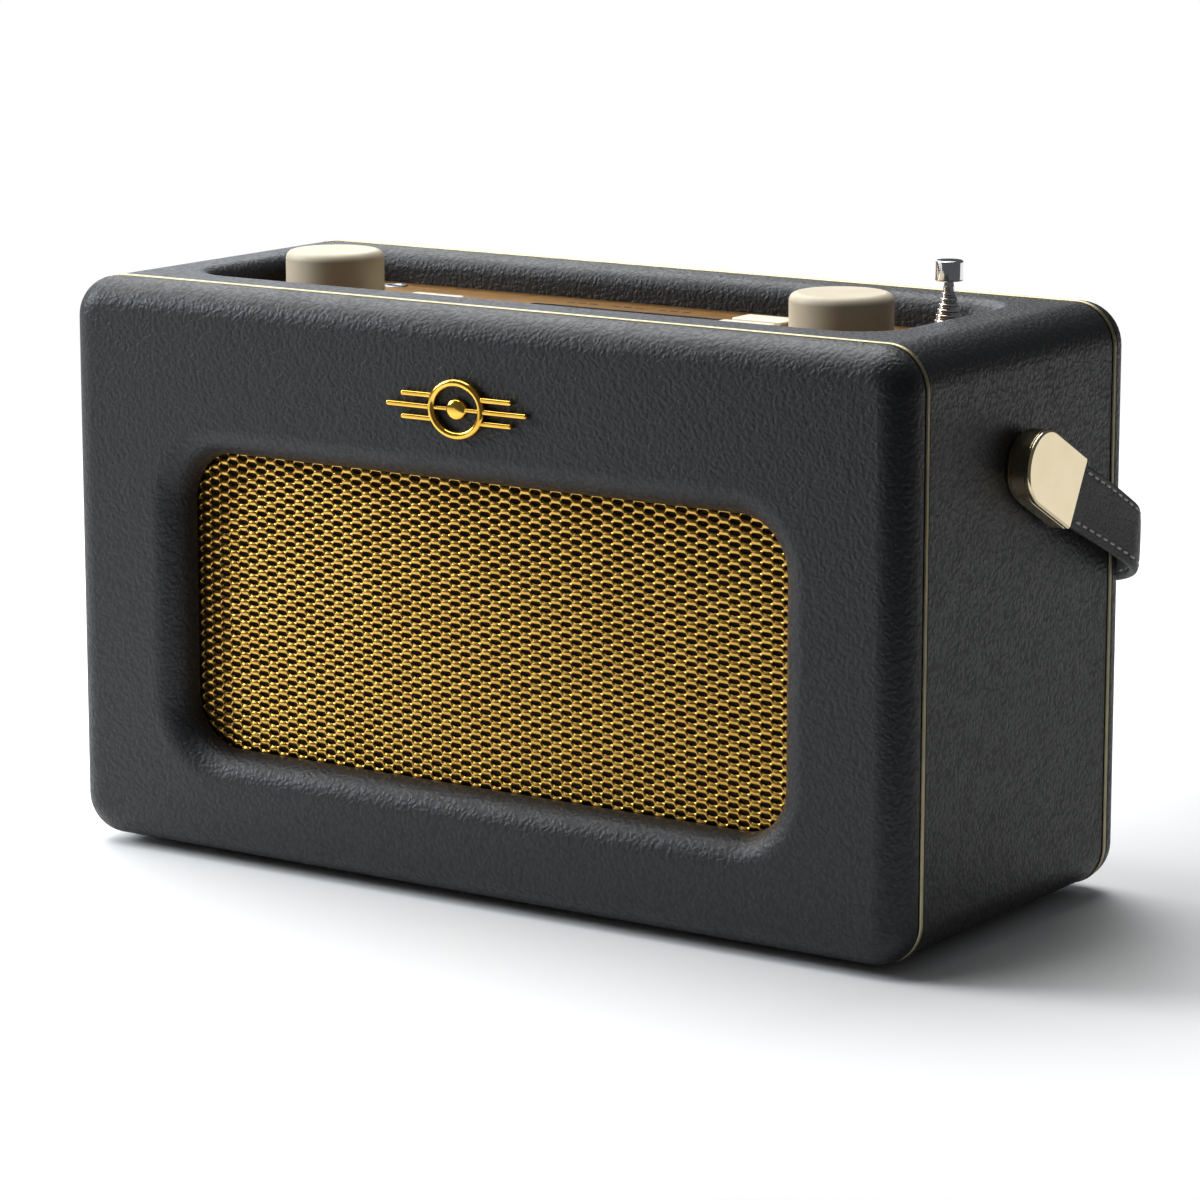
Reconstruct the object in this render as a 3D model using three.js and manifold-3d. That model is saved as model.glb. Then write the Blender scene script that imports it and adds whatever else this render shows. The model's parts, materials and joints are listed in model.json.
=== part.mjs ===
// Leather portable radio, in millimetres. +X is the listener's right, -Y is the front, +Z is up.
// The origin is the bottom centre of the whole radio, carrying handle included.
// Inside the radio group, y = 0 is the middle of the case sleeve and z = 0 is its underside.
import * as THREE from 'three';
import { mergeVertices } from 'three/addons/utils/BufferGeometryUtils.js';
import Module from 'manifold-3d';

const wasm = await Module();
wasm.setup();

// Case: a wooden sleeve closed by a front frame and a rear panel, with piping in both seams
const CASE_WIDTH = 252;
const CASE_HEIGHT = 148.3;
const CASE_CORNER = 10.75;
const PIPING_SPACING = 91.5;
const PIPING_WIDTH = 1.2;
const PIPING_PROUD = 0.3;
const GAP = 0.3;
const SIDE_WALL = 11;
const TOP_WALL = 10;
const FLOOR_WALL = 8;
const FRONT_FACE_Y = -55.75;
const FRONT_ROUND = 8;
const REAR_FACE_Y = 54.25;
const REAR_ROUND = 6;
const FOOT_HEIGHT = 2;
const FOOT_RADIUS = 7;
const FOOT_PEG = 2.5;
const FOOT_X = 106;
const FOOT_Y = 32;
const SCREW_X = 118;
const SCREW_LOW_Z = 22;
const SCREW_HIGH_Z = 126;
const SCREW_SHANK = 1.3;
const SCREW_HEAD = 2.8;
const SCREW_HEAD_DEPTH = 1.9;
const SCREW_DEPTH = 16;

// Grille opening in the front frame
const GRILLE_WIDTH = 182;
const GRILLE_HEIGHT = 78;
const GRILLE_CORNER = 13.5;
const GRILLE_Z = 66;
const GRILLE_OVERLAP = 7;

// Control well in the top of the sleeve
const WELL_X = -1;
const WELL_Y = 2.5;
const WELL_WIDTH = 206;
const WELL_DEPTH = 64;
const WELL_CORNER = 12;
const WELL_ROUND = 4;
const PLATE_TOP = 140.1;
const PLATE_THICKNESS = 1.5;
const TRAY_FLOOR = 118;
const BOARD_TOP = 128.6;

// Knobs, buttons and display on the control plate
const KNOB_X = 77.5;
const KNOB_Y = -4.5;
const KNOB_RADIUS = 12.9;
const KNOB_HEIGHT = 12.7;
const KNOB_ROUND = 2.2;
const SPINDLE_RADIUS = 2.9;
const LEFT_BUTTON_X = -55;
const RIGHT_BUTTON_X = 41;
const FRONT_BUTTON_Y = -4.25;
const BUTTON_PITCH = 11.75;
const BUTTON_WIDTH = 16;
const BUTTON_DEPTH = 9;
const BUTTON_PROUD = 1.5;
const BUTTON_TRAVEL = 0.8;
const WINDOW_WIDTH = 60;
const WINDOW_DEPTH = 28.5;
const WINDOW_Y = 4.5;
const AUX_X = -81.5;
const AUX_Y = 27;
const AUX_RADIUS = 3.2;
const AUX_BORE_RADIUS = 1.8;

// Telescopic aerial: seven sections, each one step smaller and one step taller than the last
const AERIAL_X = 93.3;
const AERIAL_Y = 20.25;
const AERIAL_SECTIONS = 7;
const AERIAL_RADIUS = 3.5;
const AERIAL_RADIUS_STEP = 0.35;
const AERIAL_CLEARANCE = 0.08;
const AERIAL_BOTTOM = 14;
const AERIAL_TOP = 145;
const AERIAL_TOP_STEP = 1.35;
const AERIAL_TIP_BOTTOM = 154.6;
const AERIAL_TIP_TOP = 159.7;

// Carrying handle: two metal end caps on studs, joined by a leather strap
const HANDLE_Z = 114.3;
const HANDLE_DROOP = THREE.MathUtils.degToRad(28);
const CAP_RADIUS = 9.35;
const CAP_LENGTH = 18;
const CAP_INNER_X = 127.3;
const CAP_OUTER_X = 133;
const STRAP_OUTER_X = 132.4;
const STRAP_THICKNESS = 3;
const STRAP_WIDTH = 16.5;
const STRAP_REACH = 73.5;
const STRAP_BEND_X = 24;
const STRAP_BEND_Y = 20;
const STRAP_START = 6.5;
const STUD_SHANK = 3;
const STUD_FLANGE = 8.4;
const STUD_PIVOT = 2.5;

// Loudspeaker, on the axis of the grille opening; distances run back from the basket's front
const SPEAKER_Y = -37.9;
const CONE_RADIUS = 36.9;
const COIL_RADIUS = 10.4;
const MAGNET_RADIUS = 32;

// Battery compartment behind a drop-down door in the rear panel
const DOOR_OPENING_WIDTH = 150;
const DOOR_OPENING_BOTTOM = 10;
const DOOR_OPENING_HEIGHT = 62;
const DOOR_CORNER = 1.2;
const DOOR_CLEARANCE = 0.4;
const DOOR_THICKNESS = 4;
const DOOR_OUTER_Y = 53.6;
const DOOR_PIN_INSET = 1.3;
const DOOR_BOTTOM = 10.9;
const CELL_RADIUS = 16.9;
const CELL_PITCH = 33.6;

// Sockets and main circuit board on the rear panel
const SOCKET_X = 84;
const SOCKET_Z = 100;
const SOCKET_SPACING = 24;
const SOCKET_PLATE_WIDTH = 46;
const SOCKET_PLATE_HEIGHT = 20;
const SOCKET_RADIUS = 4;
const BOARD_X = 52;
const BOARD_Z = 99;
const BOARD_REAR_Y = 39.6;
const BOARD_WIDTH = 120;
const BOARD_HEIGHT = 34;

const BADGE_X = -0.5;
const BADGE_Z = 124.3;
const BADGE_THICKNESS = 1.8;

const LEATHER = { color: 0x34373c, roughness: 0.55, metalness: 0 };
const STRAP_LEATHER = { color: 0x2c2d30, roughness: 0.6, metalness: 0 };
const GOLD = { color: 0xdcc088, roughness: 0.22, metalness: 1 };
const GRILLE_GOLD = { color: 0xc79a38, roughness: 0.32, metalness: 1 };
const BRONZE = { color: 0x8f5f28, roughness: 0.4, metalness: 0.8 };
const CREAM = { color: 0xcbbfa9, roughness: 0.45, metalness: 0 };
const IVORY = { color: 0xf3ead2, roughness: 0.4, metalness: 0 };
const CHROME = { color: 0xd9dcdf, roughness: 0.12, metalness: 1 };
const STEEL = { color: 0x9a9ea3, roughness: 0.4, metalness: 1 };
const BLACK_PLASTIC = { color: 0x1b1b1c, roughness: 0.6, metalness: 0 };
const DARK_GLASS = { color: 0x0c0d10, roughness: 0.08, metalness: 0 };
const RUBBER = { color: 0x151515, roughness: 0.85, metalness: 0 };
const CLOTH = { color: 0x0b0a09, roughness: 0.95, metalness: 0 };
const BOARD_GREEN = { color: 0x1f4d33, roughness: 0.5, metalness: 0 };
const FIBREBOARD = { color: 0x7a5a3a, roughness: 0.85, metalness: 0 };
const PAPER = { color: 0x2a2624, roughness: 0.9, metalness: 0 };
const MAGNET_GREY = { color: 0x3c3e42, roughness: 0.7, metalness: 0.2 };
const CELL_WRAP = { color: 0x2f5f8f, roughness: 0.4, metalness: 0 };

// Solids and geometry

function solid(geometry) {
  const bare = geometry.clone();
  bare.deleteAttribute('normal');
  bare.deleteAttribute('uv');
  const merged = mergeVertices(bare, 1e-4);
  const corners = merged.index.array;
  const triangles = [];
  for (let i = 0; i < corners.length; i += 3) {
    const [a, b, c] = [corners[i], corners[i + 1], corners[i + 2]];
    if (a !== b && b !== c && c !== a) {
      triangles.push(a, b, c);
    }
  }
  return new wasm.Manifold(new wasm.Mesh({
    numProp: 3,
    vertProperties: Float32Array.from(merged.attributes.position.array),
    triVerts: Uint32Array.from(triangles),
  }));
}

function geometryOf(body) {
  const mesh = body.getMesh();
  const geometry = new THREE.BufferGeometry();
  geometry.setAttribute('position', new THREE.BufferAttribute(mesh.vertProperties, 3));
  geometry.setIndex(new THREE.BufferAttribute(mesh.triVerts, 1));
  geometry.computeVertexNormals();
  return geometry;
}

function place(parent, name, body, finish) {
  const mesh = new THREE.Mesh(geometryOf(body), new THREE.MeshStandardMaterial(finish));
  mesh.name = name;
  parent.add(mesh);
  return mesh;
}

function roundedRect(width, height, radius, x = 0, y = 0) {
  const across = width / 2 - radius;
  const up = height / 2 - radius;
  const quarter = Math.PI / 2;
  const shape = new THREE.Shape();
  shape.absarc(x + across, y + up, radius, 0, quarter);
  shape.absarc(x - across, y + up, radius, quarter, 2 * quarter);
  shape.absarc(x - across, y - up, radius, 2 * quarter, 3 * quarter);
  shape.absarc(x + across, y - up, radius, 3 * quarter, 4 * quarter);
  shape.closePath();
  return shape;
}

function extrusion(shape, depth, curveSegments = 4) {
  return new THREE.ExtrudeGeometry(shape, { depth, bevelEnabled: false, curveSegments });
}

// A plate lying flat, with its outline in XY
function lying(shape, bottom, top, curveSegments) {
  return solid(extrusion(shape, top - bottom, curveSegments).translate(0, 0, bottom));
}

// A plate standing upright, with its outline in XZ
function standing(shape, front, back, curveSegments) {
  return solid(extrusion(shape, back - front, curveSegments).rotateX(Math.PI / 2).translate(0, back, 0));
}

function block(width, depth, height, x, y, bottom) {
  return solid(new THREE.BoxGeometry(width, depth, height).translate(x, y, bottom + height / 2));
}

// A turned piece; its profile is a list of [radius, distance along the axis]
function turned(profile, sides, axis = 'z') {
  const points = profile.map(([radius, along]) => new THREE.Vector2(radius, along));
  const geometry = new THREE.LatheGeometry(points, sides);
  if (axis === 'z') {
    geometry.rotateX(Math.PI / 2);
  }
  if (axis === 'x') {
    geometry.rotateZ(-Math.PI / 2);
  }
  return solid(geometry);
}

function rod(radius, from, to, sides, axis = 'z') {
  return turned([[0, from], [radius, from], [radius, to], [0, to]], sides, axis);
}

function tube(outer, inner, from, to, sides) {
  return turned([[inner, from], [outer, from], [outer, to], [inner, to], [inner, from]], sides);
}

function union(bodies) {
  return bodies.reduce((whole, body) => whole.add(body));
}

// A plate whose outer edge and openings roll over with the given radius on its face side only.
// The face is at z = -radius and the back at z = thickness - radius.
function rolledPlate(shape, thickness, radius) {
  const plate = new THREE.ExtrudeGeometry(shape, {
    depth: thickness - radius,
    bevelThickness: radius,
    bevelSize: radius,
    bevelOffset: -radius,
    bevelSegments: 3,
    curveSegments: 4,
  });
  const faceHalf = new THREE.BoxGeometry(2 * CASE_WIDTH, 2 * CASE_WIDTH, thickness + 1);
  faceHalf.translate(0, 0, thickness - radius - (thickness + 1) / 2);
  return geometryOf(solid(plate).intersect(solid(faceHalf)));
}

function caseOutline(offset = 0) {
  const width = CASE_WIDTH + 2 * offset;
  return roundedRect(width, CASE_HEIGHT + 2 * offset, CASE_CORNER + offset, 0, CASE_HEIGHT / 2);
}

const seam = PIPING_SPACING / 2;
const frontFrameBack = -seam - PIPING_WIDTH / 2 - GAP;
const rearPanelFront = seam + PIPING_WIDTH / 2 + GAP;
const frontReach = FRONT_FACE_Y - GAP - BADGE_THICKNESS;
const strapReachBack = STRAP_REACH * Math.cos(HANDLE_DROOP) + (STRAP_WIDTH / 2) * Math.sin(HANDLE_DROOP);

const radio = new THREE.Group();
radio.position.set(0, -(frontReach + strapReachBack) / 2, FOOT_HEIGHT);

// Case

function wellOutline(offset = 0) {
  const width = WELL_WIDTH + 2 * offset;
  return roundedRect(width, WELL_DEPTH + 2 * offset, WELL_CORNER + offset, WELL_X, WELL_Y);
}

// What is cut away to roll the rim of the control well over
function wellRimCut() {
  const topPlate = roundedRect(CASE_WIDTH, PIPING_SPACING, 2 * WELL_ROUND);
  topPlate.holes.push(wellOutline());
  const rolled = new THREE.ExtrudeGeometry(topPlate, {
    depth: 1,
    bevelThickness: WELL_ROUND,
    bevelSize: WELL_ROUND,
    bevelOffset: -WELL_ROUND,
    bevelSegments: 2,
    curveSegments: 4,
  });
  rolled.translate(0, 0, CASE_HEIGHT - WELL_ROUND - 1);
  return lying(wellOutline(WELL_ROUND), CASE_HEIGHT - WELL_ROUND, CASE_HEIGHT + 1).subtract(solid(rolled));
}

const footPlaces = [];
for (const x of [-FOOT_X, FOOT_X]) {
  for (const y of [-FOOT_Y, FOOT_Y]) {
    footPlaces.push([x, y]);
  }
}
const screwPlaces = [];
for (const x of [-SCREW_X, SCREW_X]) {
  for (const z of [SCREW_LOW_Z, SCREW_HIGH_Z]) {
    screwPlaces.push([x, z]);
  }
}

function caseSleeve() {
  const inside = roundedRect(
    CASE_WIDTH - 2 * SIDE_WALL,
    CASE_HEIGHT - TOP_WALL - FLOOR_WALL,
    4,
    0,
    (CASE_HEIGHT - TOP_WALL + FLOOR_WALL) / 2,
  );
  const outline = caseOutline();
  outline.holes.push(inside);
  const half = seam - PIPING_WIDTH / 2 - GAP;
  let sleeve = standing(outline, -half, half);
  sleeve = sleeve.subtract(lying(wellOutline(), CASE_HEIGHT - TOP_WALL - 1, CASE_HEIGHT + 1));
  sleeve = sleeve.subtract(wellRimCut());
  for (const [x, y] of footPlaces) {
    sleeve = sleeve.subtract(rod(FOOT_PEG + GAP, -1, 6, 10).translate([x, y, 0]));
  }
  for (const [x, z] of screwPlaces) {
    const hole = rod(SCREW_SHANK + GAP, seam - SCREW_DEPTH - 2, seam, 8, 'y');
    sleeve = sleeve.subtract(hole.translate([x, 0, z]));
  }
  const studHole = rod(STUD_SHANK + GAP, -CASE_WIDTH, CASE_WIDTH, 12, 'x').translate([0, 0, HANDLE_Z]);
  return sleeve.subtract(studHole);
}

function frontFrame() {
  const outline = caseOutline();
  outline.holes.push(roundedRect(GRILLE_WIDTH, GRILLE_HEIGHT, GRILLE_CORNER, 0, GRILLE_Z));
  const plate = rolledPlate(outline, frontFrameBack - FRONT_FACE_Y, FRONT_ROUND);
  return solid(plate.rotateX(Math.PI / 2).rotateZ(Math.PI).translate(0, FRONT_FACE_Y + FRONT_ROUND, 0));
}

function boardBosses() {
  const bosses = [];
  const across = BOARD_WIDTH / 2 - 6;
  const up = BOARD_HEIGHT / 2 - 4;
  for (const x of [BOARD_X - across, BOARD_X + across]) {
    for (const z of [BOARD_Z - up, BOARD_Z + up]) {
      bosses.push(rod(3, BOARD_REAR_Y + GAP, rearPanelFront + 1, 10, 'y').translate([x, 0, z]));
    }
  }
  return union(bosses);
}

function socketPlateOutline(offset = 0) {
  const width = SOCKET_PLATE_WIDTH + 2 * offset;
  return roundedRect(width, SOCKET_PLATE_HEIGHT + 2 * offset, 2 + offset, SOCKET_X, SOCKET_Z);
}

function doorPins(radius, length) {
  const pin = rod(radius, -length, length, 8, 'x');
  const y = DOOR_OUTER_Y - DOOR_PIN_INSET;
  return pin.translate([0, y, DOOR_BOTTOM + DOOR_PIN_INSET]);
}

function rearPanel() {
  const plate = rolledPlate(caseOutline(), REAR_FACE_Y - rearPanelFront, REAR_ROUND);
  let panel = solid(plate.rotateX(Math.PI / 2).translate(0, REAR_FACE_Y - REAR_ROUND, 0));
  const doorOpening = roundedRect(
    DOOR_OPENING_WIDTH,
    DOOR_OPENING_HEIGHT,
    DOOR_CORNER,
    0,
    DOOR_OPENING_BOTTOM + DOOR_OPENING_HEIGHT / 2,
  );
  const cutFront = rearPanelFront - 1;
  const cutBack = REAR_FACE_Y + 1;
  panel = panel.subtract(standing(doorOpening, cutFront, cutBack));
  panel = panel.subtract(doorPins(1 + GAP, DOOR_OPENING_WIDTH / 2 + 2));
  panel = panel.subtract(standing(socketPlateOutline(GAP), cutFront, cutBack));
  panel = panel.add(boardBosses());
  for (const [x, z] of screwPlaces) {
    const hole = turned([
      [0, cutFront],
      [SCREW_SHANK + GAP, cutFront],
      [SCREW_SHANK + GAP, REAR_FACE_Y - SCREW_HEAD_DEPTH - GAP],
      [SCREW_HEAD + GAP, REAR_FACE_Y - SCREW_HEAD_DEPTH - GAP],
      [SCREW_HEAD + GAP, cutBack],
      [0, cutBack],
    ], 10, 'y');
    panel = panel.subtract(hole.translate([x, 0, z]));
  }
  return panel;
}

function piping(y) {
  const outline = caseOutline(PIPING_PROUD);
  outline.holes.push(caseOutline(PIPING_PROUD - PIPING_WIDTH));
  return standing(outline, y - PIPING_WIDTH / 2, y + PIPING_WIDTH / 2);
}

function foot() {
  return turned([
    [0, -FOOT_HEIGHT],
    [FOOT_RADIUS - 0.8, -FOOT_HEIGHT],
    [FOOT_RADIUS, -GAP],
    [FOOT_PEG, -GAP],
    [FOOT_PEG, 5.5],
    [0, 5.5],
  ], 14);
}

function rearScrew() {
  return turned([
    [0, seam - SCREW_DEPTH],
    [SCREW_SHANK, seam - SCREW_DEPTH],
    [SCREW_SHANK, REAR_FACE_Y - SCREW_HEAD_DEPTH],
    [SCREW_HEAD, REAR_FACE_Y - SCREW_HEAD_DEPTH],
    [SCREW_HEAD, REAR_FACE_Y - 0.5],
    [SCREW_HEAD - 1, REAR_FACE_Y],
    [0, REAR_FACE_Y],
  ], 10, 'y');
}

// An oval ring with three bars each side of it, the middle bar the longest
function badge() {
  const ring = new THREE.Shape();
  ring.absellipse(0, 0, 8.5, 7.5, 0, 2 * Math.PI);
  const opening = new THREE.Path();
  opening.absellipse(0, 0, 6.6, 5.6, 0, 2 * Math.PI);
  ring.holes.push(opening);
  const back = FRONT_FACE_Y - GAP;
  const front = back - BADGE_THICKNESS;
  const pieces = [standing(ring, front, back, 7)];
  const disc = new THREE.Shape();
  disc.absellipse(0, 0, 3, 2.6, 0, 2 * Math.PI);
  pieces.push(standing(disc, front, back, 4));
  const spoke = roundedRect(14, 1, 0.4);
  pieces.push(standing(spoke, front + 0.4, back, 2));
  for (const side of [-1, 1]) {
    for (const row of [-1, 0, 1]) {
      const length = row === 0 ? 14 : 9.5;
      const bar = roundedRect(length, 1.3, 0.6, side * (7.2 + length / 2), row * 2.9);
      pieces.push(standing(bar, front + 0.3, back, 2));
    }
  }
  return union(pieces).translate([BADGE_X, 0, BADGE_Z]);
}

place(radio, 'case_sleeve', caseSleeve(), LEATHER);
place(radio, 'front_frame', frontFrame(), LEATHER);
place(radio, 'rear_panel', rearPanel(), LEATHER);
place(radio, 'front_piping', piping(-seam), GOLD);
place(radio, 'rear_piping', piping(seam), GOLD);
place(radio, 'badge', badge(), GOLD);
footPlaces.forEach(([x, y], i) => {
  place(radio, `foot_${i + 1}`, foot(), RUBBER).position.set(x, y, 0);
});
screwPlaces.forEach(([x, z], i) => {
  place(radio, `rear_screw_${i + 1}`, rearScrew(), STEEL).position.set(x, 0, z);
});

// Grille and loudspeaker

function grilleSheet(front, thickness) {
  const width = GRILLE_WIDTH + 2 * GRILLE_OVERLAP;
  const height = GRILLE_HEIGHT + 2 * GRILLE_OVERLAP;
  return standing(roundedRect(width, height, 4, 0, GRILLE_Z), front, front + thickness);
}

const grilleFront = frontFrameBack + GAP;
const baffleFront = SPEAKER_Y - GAP - 6;

function baffleBoard() {
  const height = CASE_HEIGHT - TOP_WALL - FLOOR_WALL - 2;
  const middle = FLOOR_WALL + 1 + height / 2;
  const outline = roundedRect(CASE_WIDTH - 2 * SIDE_WALL - 2, height, 3, 0, middle);
  const opening = new THREE.Path();
  opening.absarc(0, GRILLE_Z, 43.5, 0, 2 * Math.PI);
  outline.holes.push(opening);
  return standing(outline, baffleFront, baffleFront + 6, 7);
}

const speakerParts = {
  speaker_basket: {
    sides: 20,
    finish: STEEL,
    profile: [
      [43, 0], [51, 0], [51, 1.6], [45.5, 1.6], [31, 22], [31, 24], [13, 24], [13, 22.6],
      [29.5, 22.6], [43, 3], [43, 0],
    ],
  },
  speaker_surround: {
    sides: 20,
    finish: RUBBER,
    profile: [
      [CONE_RADIUS + 0.5, 0.2], [38.5, -1.2], [40, -1.8], [41.6, -1.2], [42.7, 0.2], [42.7, 1],
      [CONE_RADIUS + 0.5, 1], [CONE_RADIUS + 0.5, 0.2],
    ],
  },
  speaker_cone: {
    sides: 20,
    finish: PAPER,
    profile: [
      [COIL_RADIUS - 0.7, 14.6], [CONE_RADIUS, 0.2], [CONE_RADIUS, 1.2], [COIL_RADIUS, 16],
      [COIL_RADIUS, 27], [COIL_RADIUS - 0.7, 27], [COIL_RADIUS - 0.7, 14.6],
    ],
  },
  dust_cap: {
    sides: 16,
    finish: PAPER,
    profile: [[0, 11], [5, 11.7], [9.3, 14], [9.3, 14.8], [0, 14.8]],
  },
  speaker_magnet: {
    sides: 20,
    finish: MAGNET_GREY,
    profile: [
      [0, 17], [9, 17], [9, 34], [12, 34], [12, 24.3], [MAGNET_RADIUS, 24.3], [MAGNET_RADIUS, 37.3],
      [0, 37.3],
    ],
  },
};

place(radio, 'speaker_grille', grilleSheet(grilleFront, 1), GRILLE_GOLD);
place(radio, 'grille_cloth', grilleSheet(grilleFront + 1.4, 0.4), CLOTH);
place(radio, 'baffle_board', baffleBoard(), FIBREBOARD);
for (const [name, part] of Object.entries(speakerParts)) {
  const mesh = place(radio, name, turned(part.profile, part.sides, 'y'), part.finish);
  mesh.position.set(0, SPEAKER_Y, GRILLE_Z);
}

// Control well: plate, tray, board, knobs, buttons and display

const plateBottom = PLATE_TOP - PLATE_THICKNESS;
const buttons = [
  ['power_button', LEFT_BUTTON_X, 0],
  ['source_button', LEFT_BUTTON_X, 1],
  ['info_button', RIGHT_BUTTON_X, 0],
  ['menu_button', RIGHT_BUTTON_X, 1],
  ['preset_button', RIGHT_BUTTON_X, 2],
].map(([name, x, row]) => ({ name, x, y: FRONT_BUTTON_Y + row * BUTTON_PITCH }));

function through(radius, x, y) {
  return rod(radius, TRAY_FLOOR - 1, PLATE_TOP + 1, 14).translate([x, y, 0]);
}

function controlPlate() {
  let plate = lying(wellOutline(-GAP - 0.1), plateBottom, PLATE_TOP);
  const window = roundedRect(WINDOW_WIDTH + 2 * GAP, WINDOW_DEPTH + 2 * GAP, 1, 0, WINDOW_Y);
  plate = plate.subtract(lying(window, plateBottom - 1, PLATE_TOP + 1, 2));
  for (const { x, y } of buttons) {
    const opening = roundedRect(BUTTON_WIDTH + 2 * GAP, BUTTON_DEPTH + 2 * GAP, 1.3, x, y);
    plate = plate.subtract(lying(opening, plateBottom - 1, PLATE_TOP + 1, 2));
  }
  for (const x of [-KNOB_X, KNOB_X]) {
    plate = plate.subtract(through(5, x, KNOB_Y));
  }
  plate = plate.subtract(through(AUX_RADIUS + GAP, AUX_X, AUX_Y));
  return plate.subtract(through(4.8, AERIAL_X, AERIAL_Y));
}

function controlTray() {
  const top = CASE_HEIGHT - TOP_WALL - GAP;
  const width = WELL_WIDTH + 8;
  const depth = WELL_DEPTH + 9;
  let tray = block(width, depth, top - TRAY_FLOOR, WELL_X, WELL_Y, TRAY_FLOOR);
  tray = tray.subtract(block(width - 4, depth - 4, top, WELL_X, WELL_Y, TRAY_FLOOR + 2));
  for (const side of [-1, 1]) {
    const y = WELL_Y + side * (depth / 2 - 3);
    tray = tray.add(block(width - 2, 4, BOARD_TOP - 1.6 - TRAY_FLOOR, WELL_X, y, TRAY_FLOOR));
  }
  return tray.subtract(through(4.5, AERIAL_X, AERIAL_Y));
}

// The populated board: one push switch stands under each button
function controlBoard() {
  let board = block(WELL_WIDTH, WELL_DEPTH + 1, 1.3, WELL_X, WELL_Y, BOARD_TOP - 1.3);
  for (const { x, y } of buttons) {
    board = board.add(block(6, 6, 3.7, x, y, BOARD_TOP - 0.1));
  }
  return board.subtract(through(4.5, AERIAL_X, AERIAL_Y));
}

// The auxiliary input stands on the board and comes up flush behind the volume knob
function auxSocket() {
  const barrel = rod(AUX_RADIUS, BOARD_TOP + GAP, PLATE_TOP + 0.3, 20);
  return barrel.subtract(rod(AUX_BORE_RADIUS, BOARD_TOP + 1.5, PLATE_TOP + 1, 16));
}

function encoder(x) {
  const body = block(12, 12, 6, x, KNOB_Y, BOARD_TOP + GAP);
  const bush = rod(4.5, BOARD_TOP + 6, PLATE_TOP - 0.5, 16).translate([x, KNOB_Y, 0]);
  const bore = rod(SPINDLE_RADIUS + GAP, BOARD_TOP + 2, PLATE_TOP + 1, 16).translate([x, KNOB_Y, 0]);
  return body.add(bush).subtract(bore);
}

const knobBottom = PLATE_TOP + 0.5;
const knobBoreDepth = 9.5;

function knob() {
  const profile = [
    [0, knobBoreDepth],
    [SPINDLE_RADIUS + GAP, knobBoreDepth],
    [SPINDLE_RADIUS + GAP, 0],
    [KNOB_RADIUS - 0.5, 0],
    [KNOB_RADIUS, 0.5],
  ];
  const steps = 4;
  for (let i = 0; i <= steps; i += 1) {
    const angle = (Math.PI / 2) * (i / steps);
    profile.push([
      KNOB_RADIUS - KNOB_ROUND + KNOB_ROUND * Math.cos(angle),
      KNOB_HEIGHT - KNOB_ROUND + KNOB_ROUND * Math.sin(angle),
    ]);
  }
  profile.push([0, KNOB_HEIGHT]);
  return turned(profile, 28);
}

function button({ x, y }) {
  const top = PLATE_TOP + BUTTON_PROUD;
  const flangeTop = plateBottom - 0.8;
  const cap = lying(roundedRect(BUTTON_WIDTH, BUTTON_DEPTH, 1, x, y), flangeTop - 0.3, top, 2);
  const flange = block(BUTTON_WIDTH + 2, BUTTON_DEPTH + 2, 0.8, x, y, flangeTop - 0.8);
  const stemBottom = BOARD_TOP + 3.6 + BUTTON_TRAVEL + 0.2;
  const stem = rod(1.6, stemBottom, flangeTop, 8).translate([x, y, 0]);
  return union([cap, flange, stem]);
}

place(radio, 'control_plate', controlPlate(), BRONZE);
place(radio, 'control_tray', controlTray(), BLACK_PLASTIC);
place(radio, 'control_board', controlBoard(), BOARD_GREEN);
for (const [name, x] of [['volume', -KNOB_X], ['tuning', KNOB_X]]) {
  place(radio, `${name}_encoder`, encoder(x), STEEL);
  const spindle = rod(SPINDLE_RADIUS, BOARD_TOP + 2.5, knobBottom + knobBoreDepth - GAP, 16);
  place(radio, `${name}_spindle`, spindle, STEEL).position.set(x, KNOB_Y, 0);
  place(radio, `${name}_knob`, knob(), CREAM).position.set(x, KNOB_Y, knobBottom);
}
for (const spec of buttons) {
  place(radio, spec.name, button(spec), IVORY);
}
const pane = roundedRect(WINDOW_WIDTH, WINDOW_DEPTH, 0.8, 0, WINDOW_Y);
place(radio, 'display_window', lying(pane, PLATE_TOP - 2, PLATE_TOP + 0.2, 2), DARK_GLASS);
const moduleHeight = PLATE_TOP - 2 - GAP - BOARD_TOP - GAP;
const displayModule = block(WINDOW_WIDTH - 1, WINDOW_DEPTH + 1, moduleHeight, 0, WINDOW_Y, BOARD_TOP + GAP);
place(radio, 'display_module', displayModule, BLACK_PLASTIC);
place(radio, 'aux_socket', auxSocket(), CHROME).position.set(AUX_X, AUX_Y, 0);

// Telescopic aerial

function aerialRadius(section) {
  return AERIAL_RADIUS - section * AERIAL_RADIUS_STEP;
}

function aerialSection(section) {
  const bottom = AERIAL_BOTTOM + 1.2 * section;
  const top = AERIAL_TOP + AERIAL_TOP_STEP * section;
  const outer = aerialRadius(section);
  if (section < AERIAL_SECTIONS - 1) {
    return tube(outer, aerialRadius(section + 1) + AERIAL_CLEARANCE, bottom, top, 16);
  }
  const tipChamfer = 0.4;
  return turned([
    [0, bottom],
    [outer, bottom],
    [outer, top],
    [1.2, top + 0.5],
    [1.2, AERIAL_TIP_BOTTOM],
    [AERIAL_RADIUS, AERIAL_TIP_BOTTOM],
    [AERIAL_RADIUS, AERIAL_TIP_TOP - tipChamfer],
    [AERIAL_RADIUS - tipChamfer, AERIAL_TIP_TOP],
    [0, AERIAL_TIP_TOP],
  ], 16);
}

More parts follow.
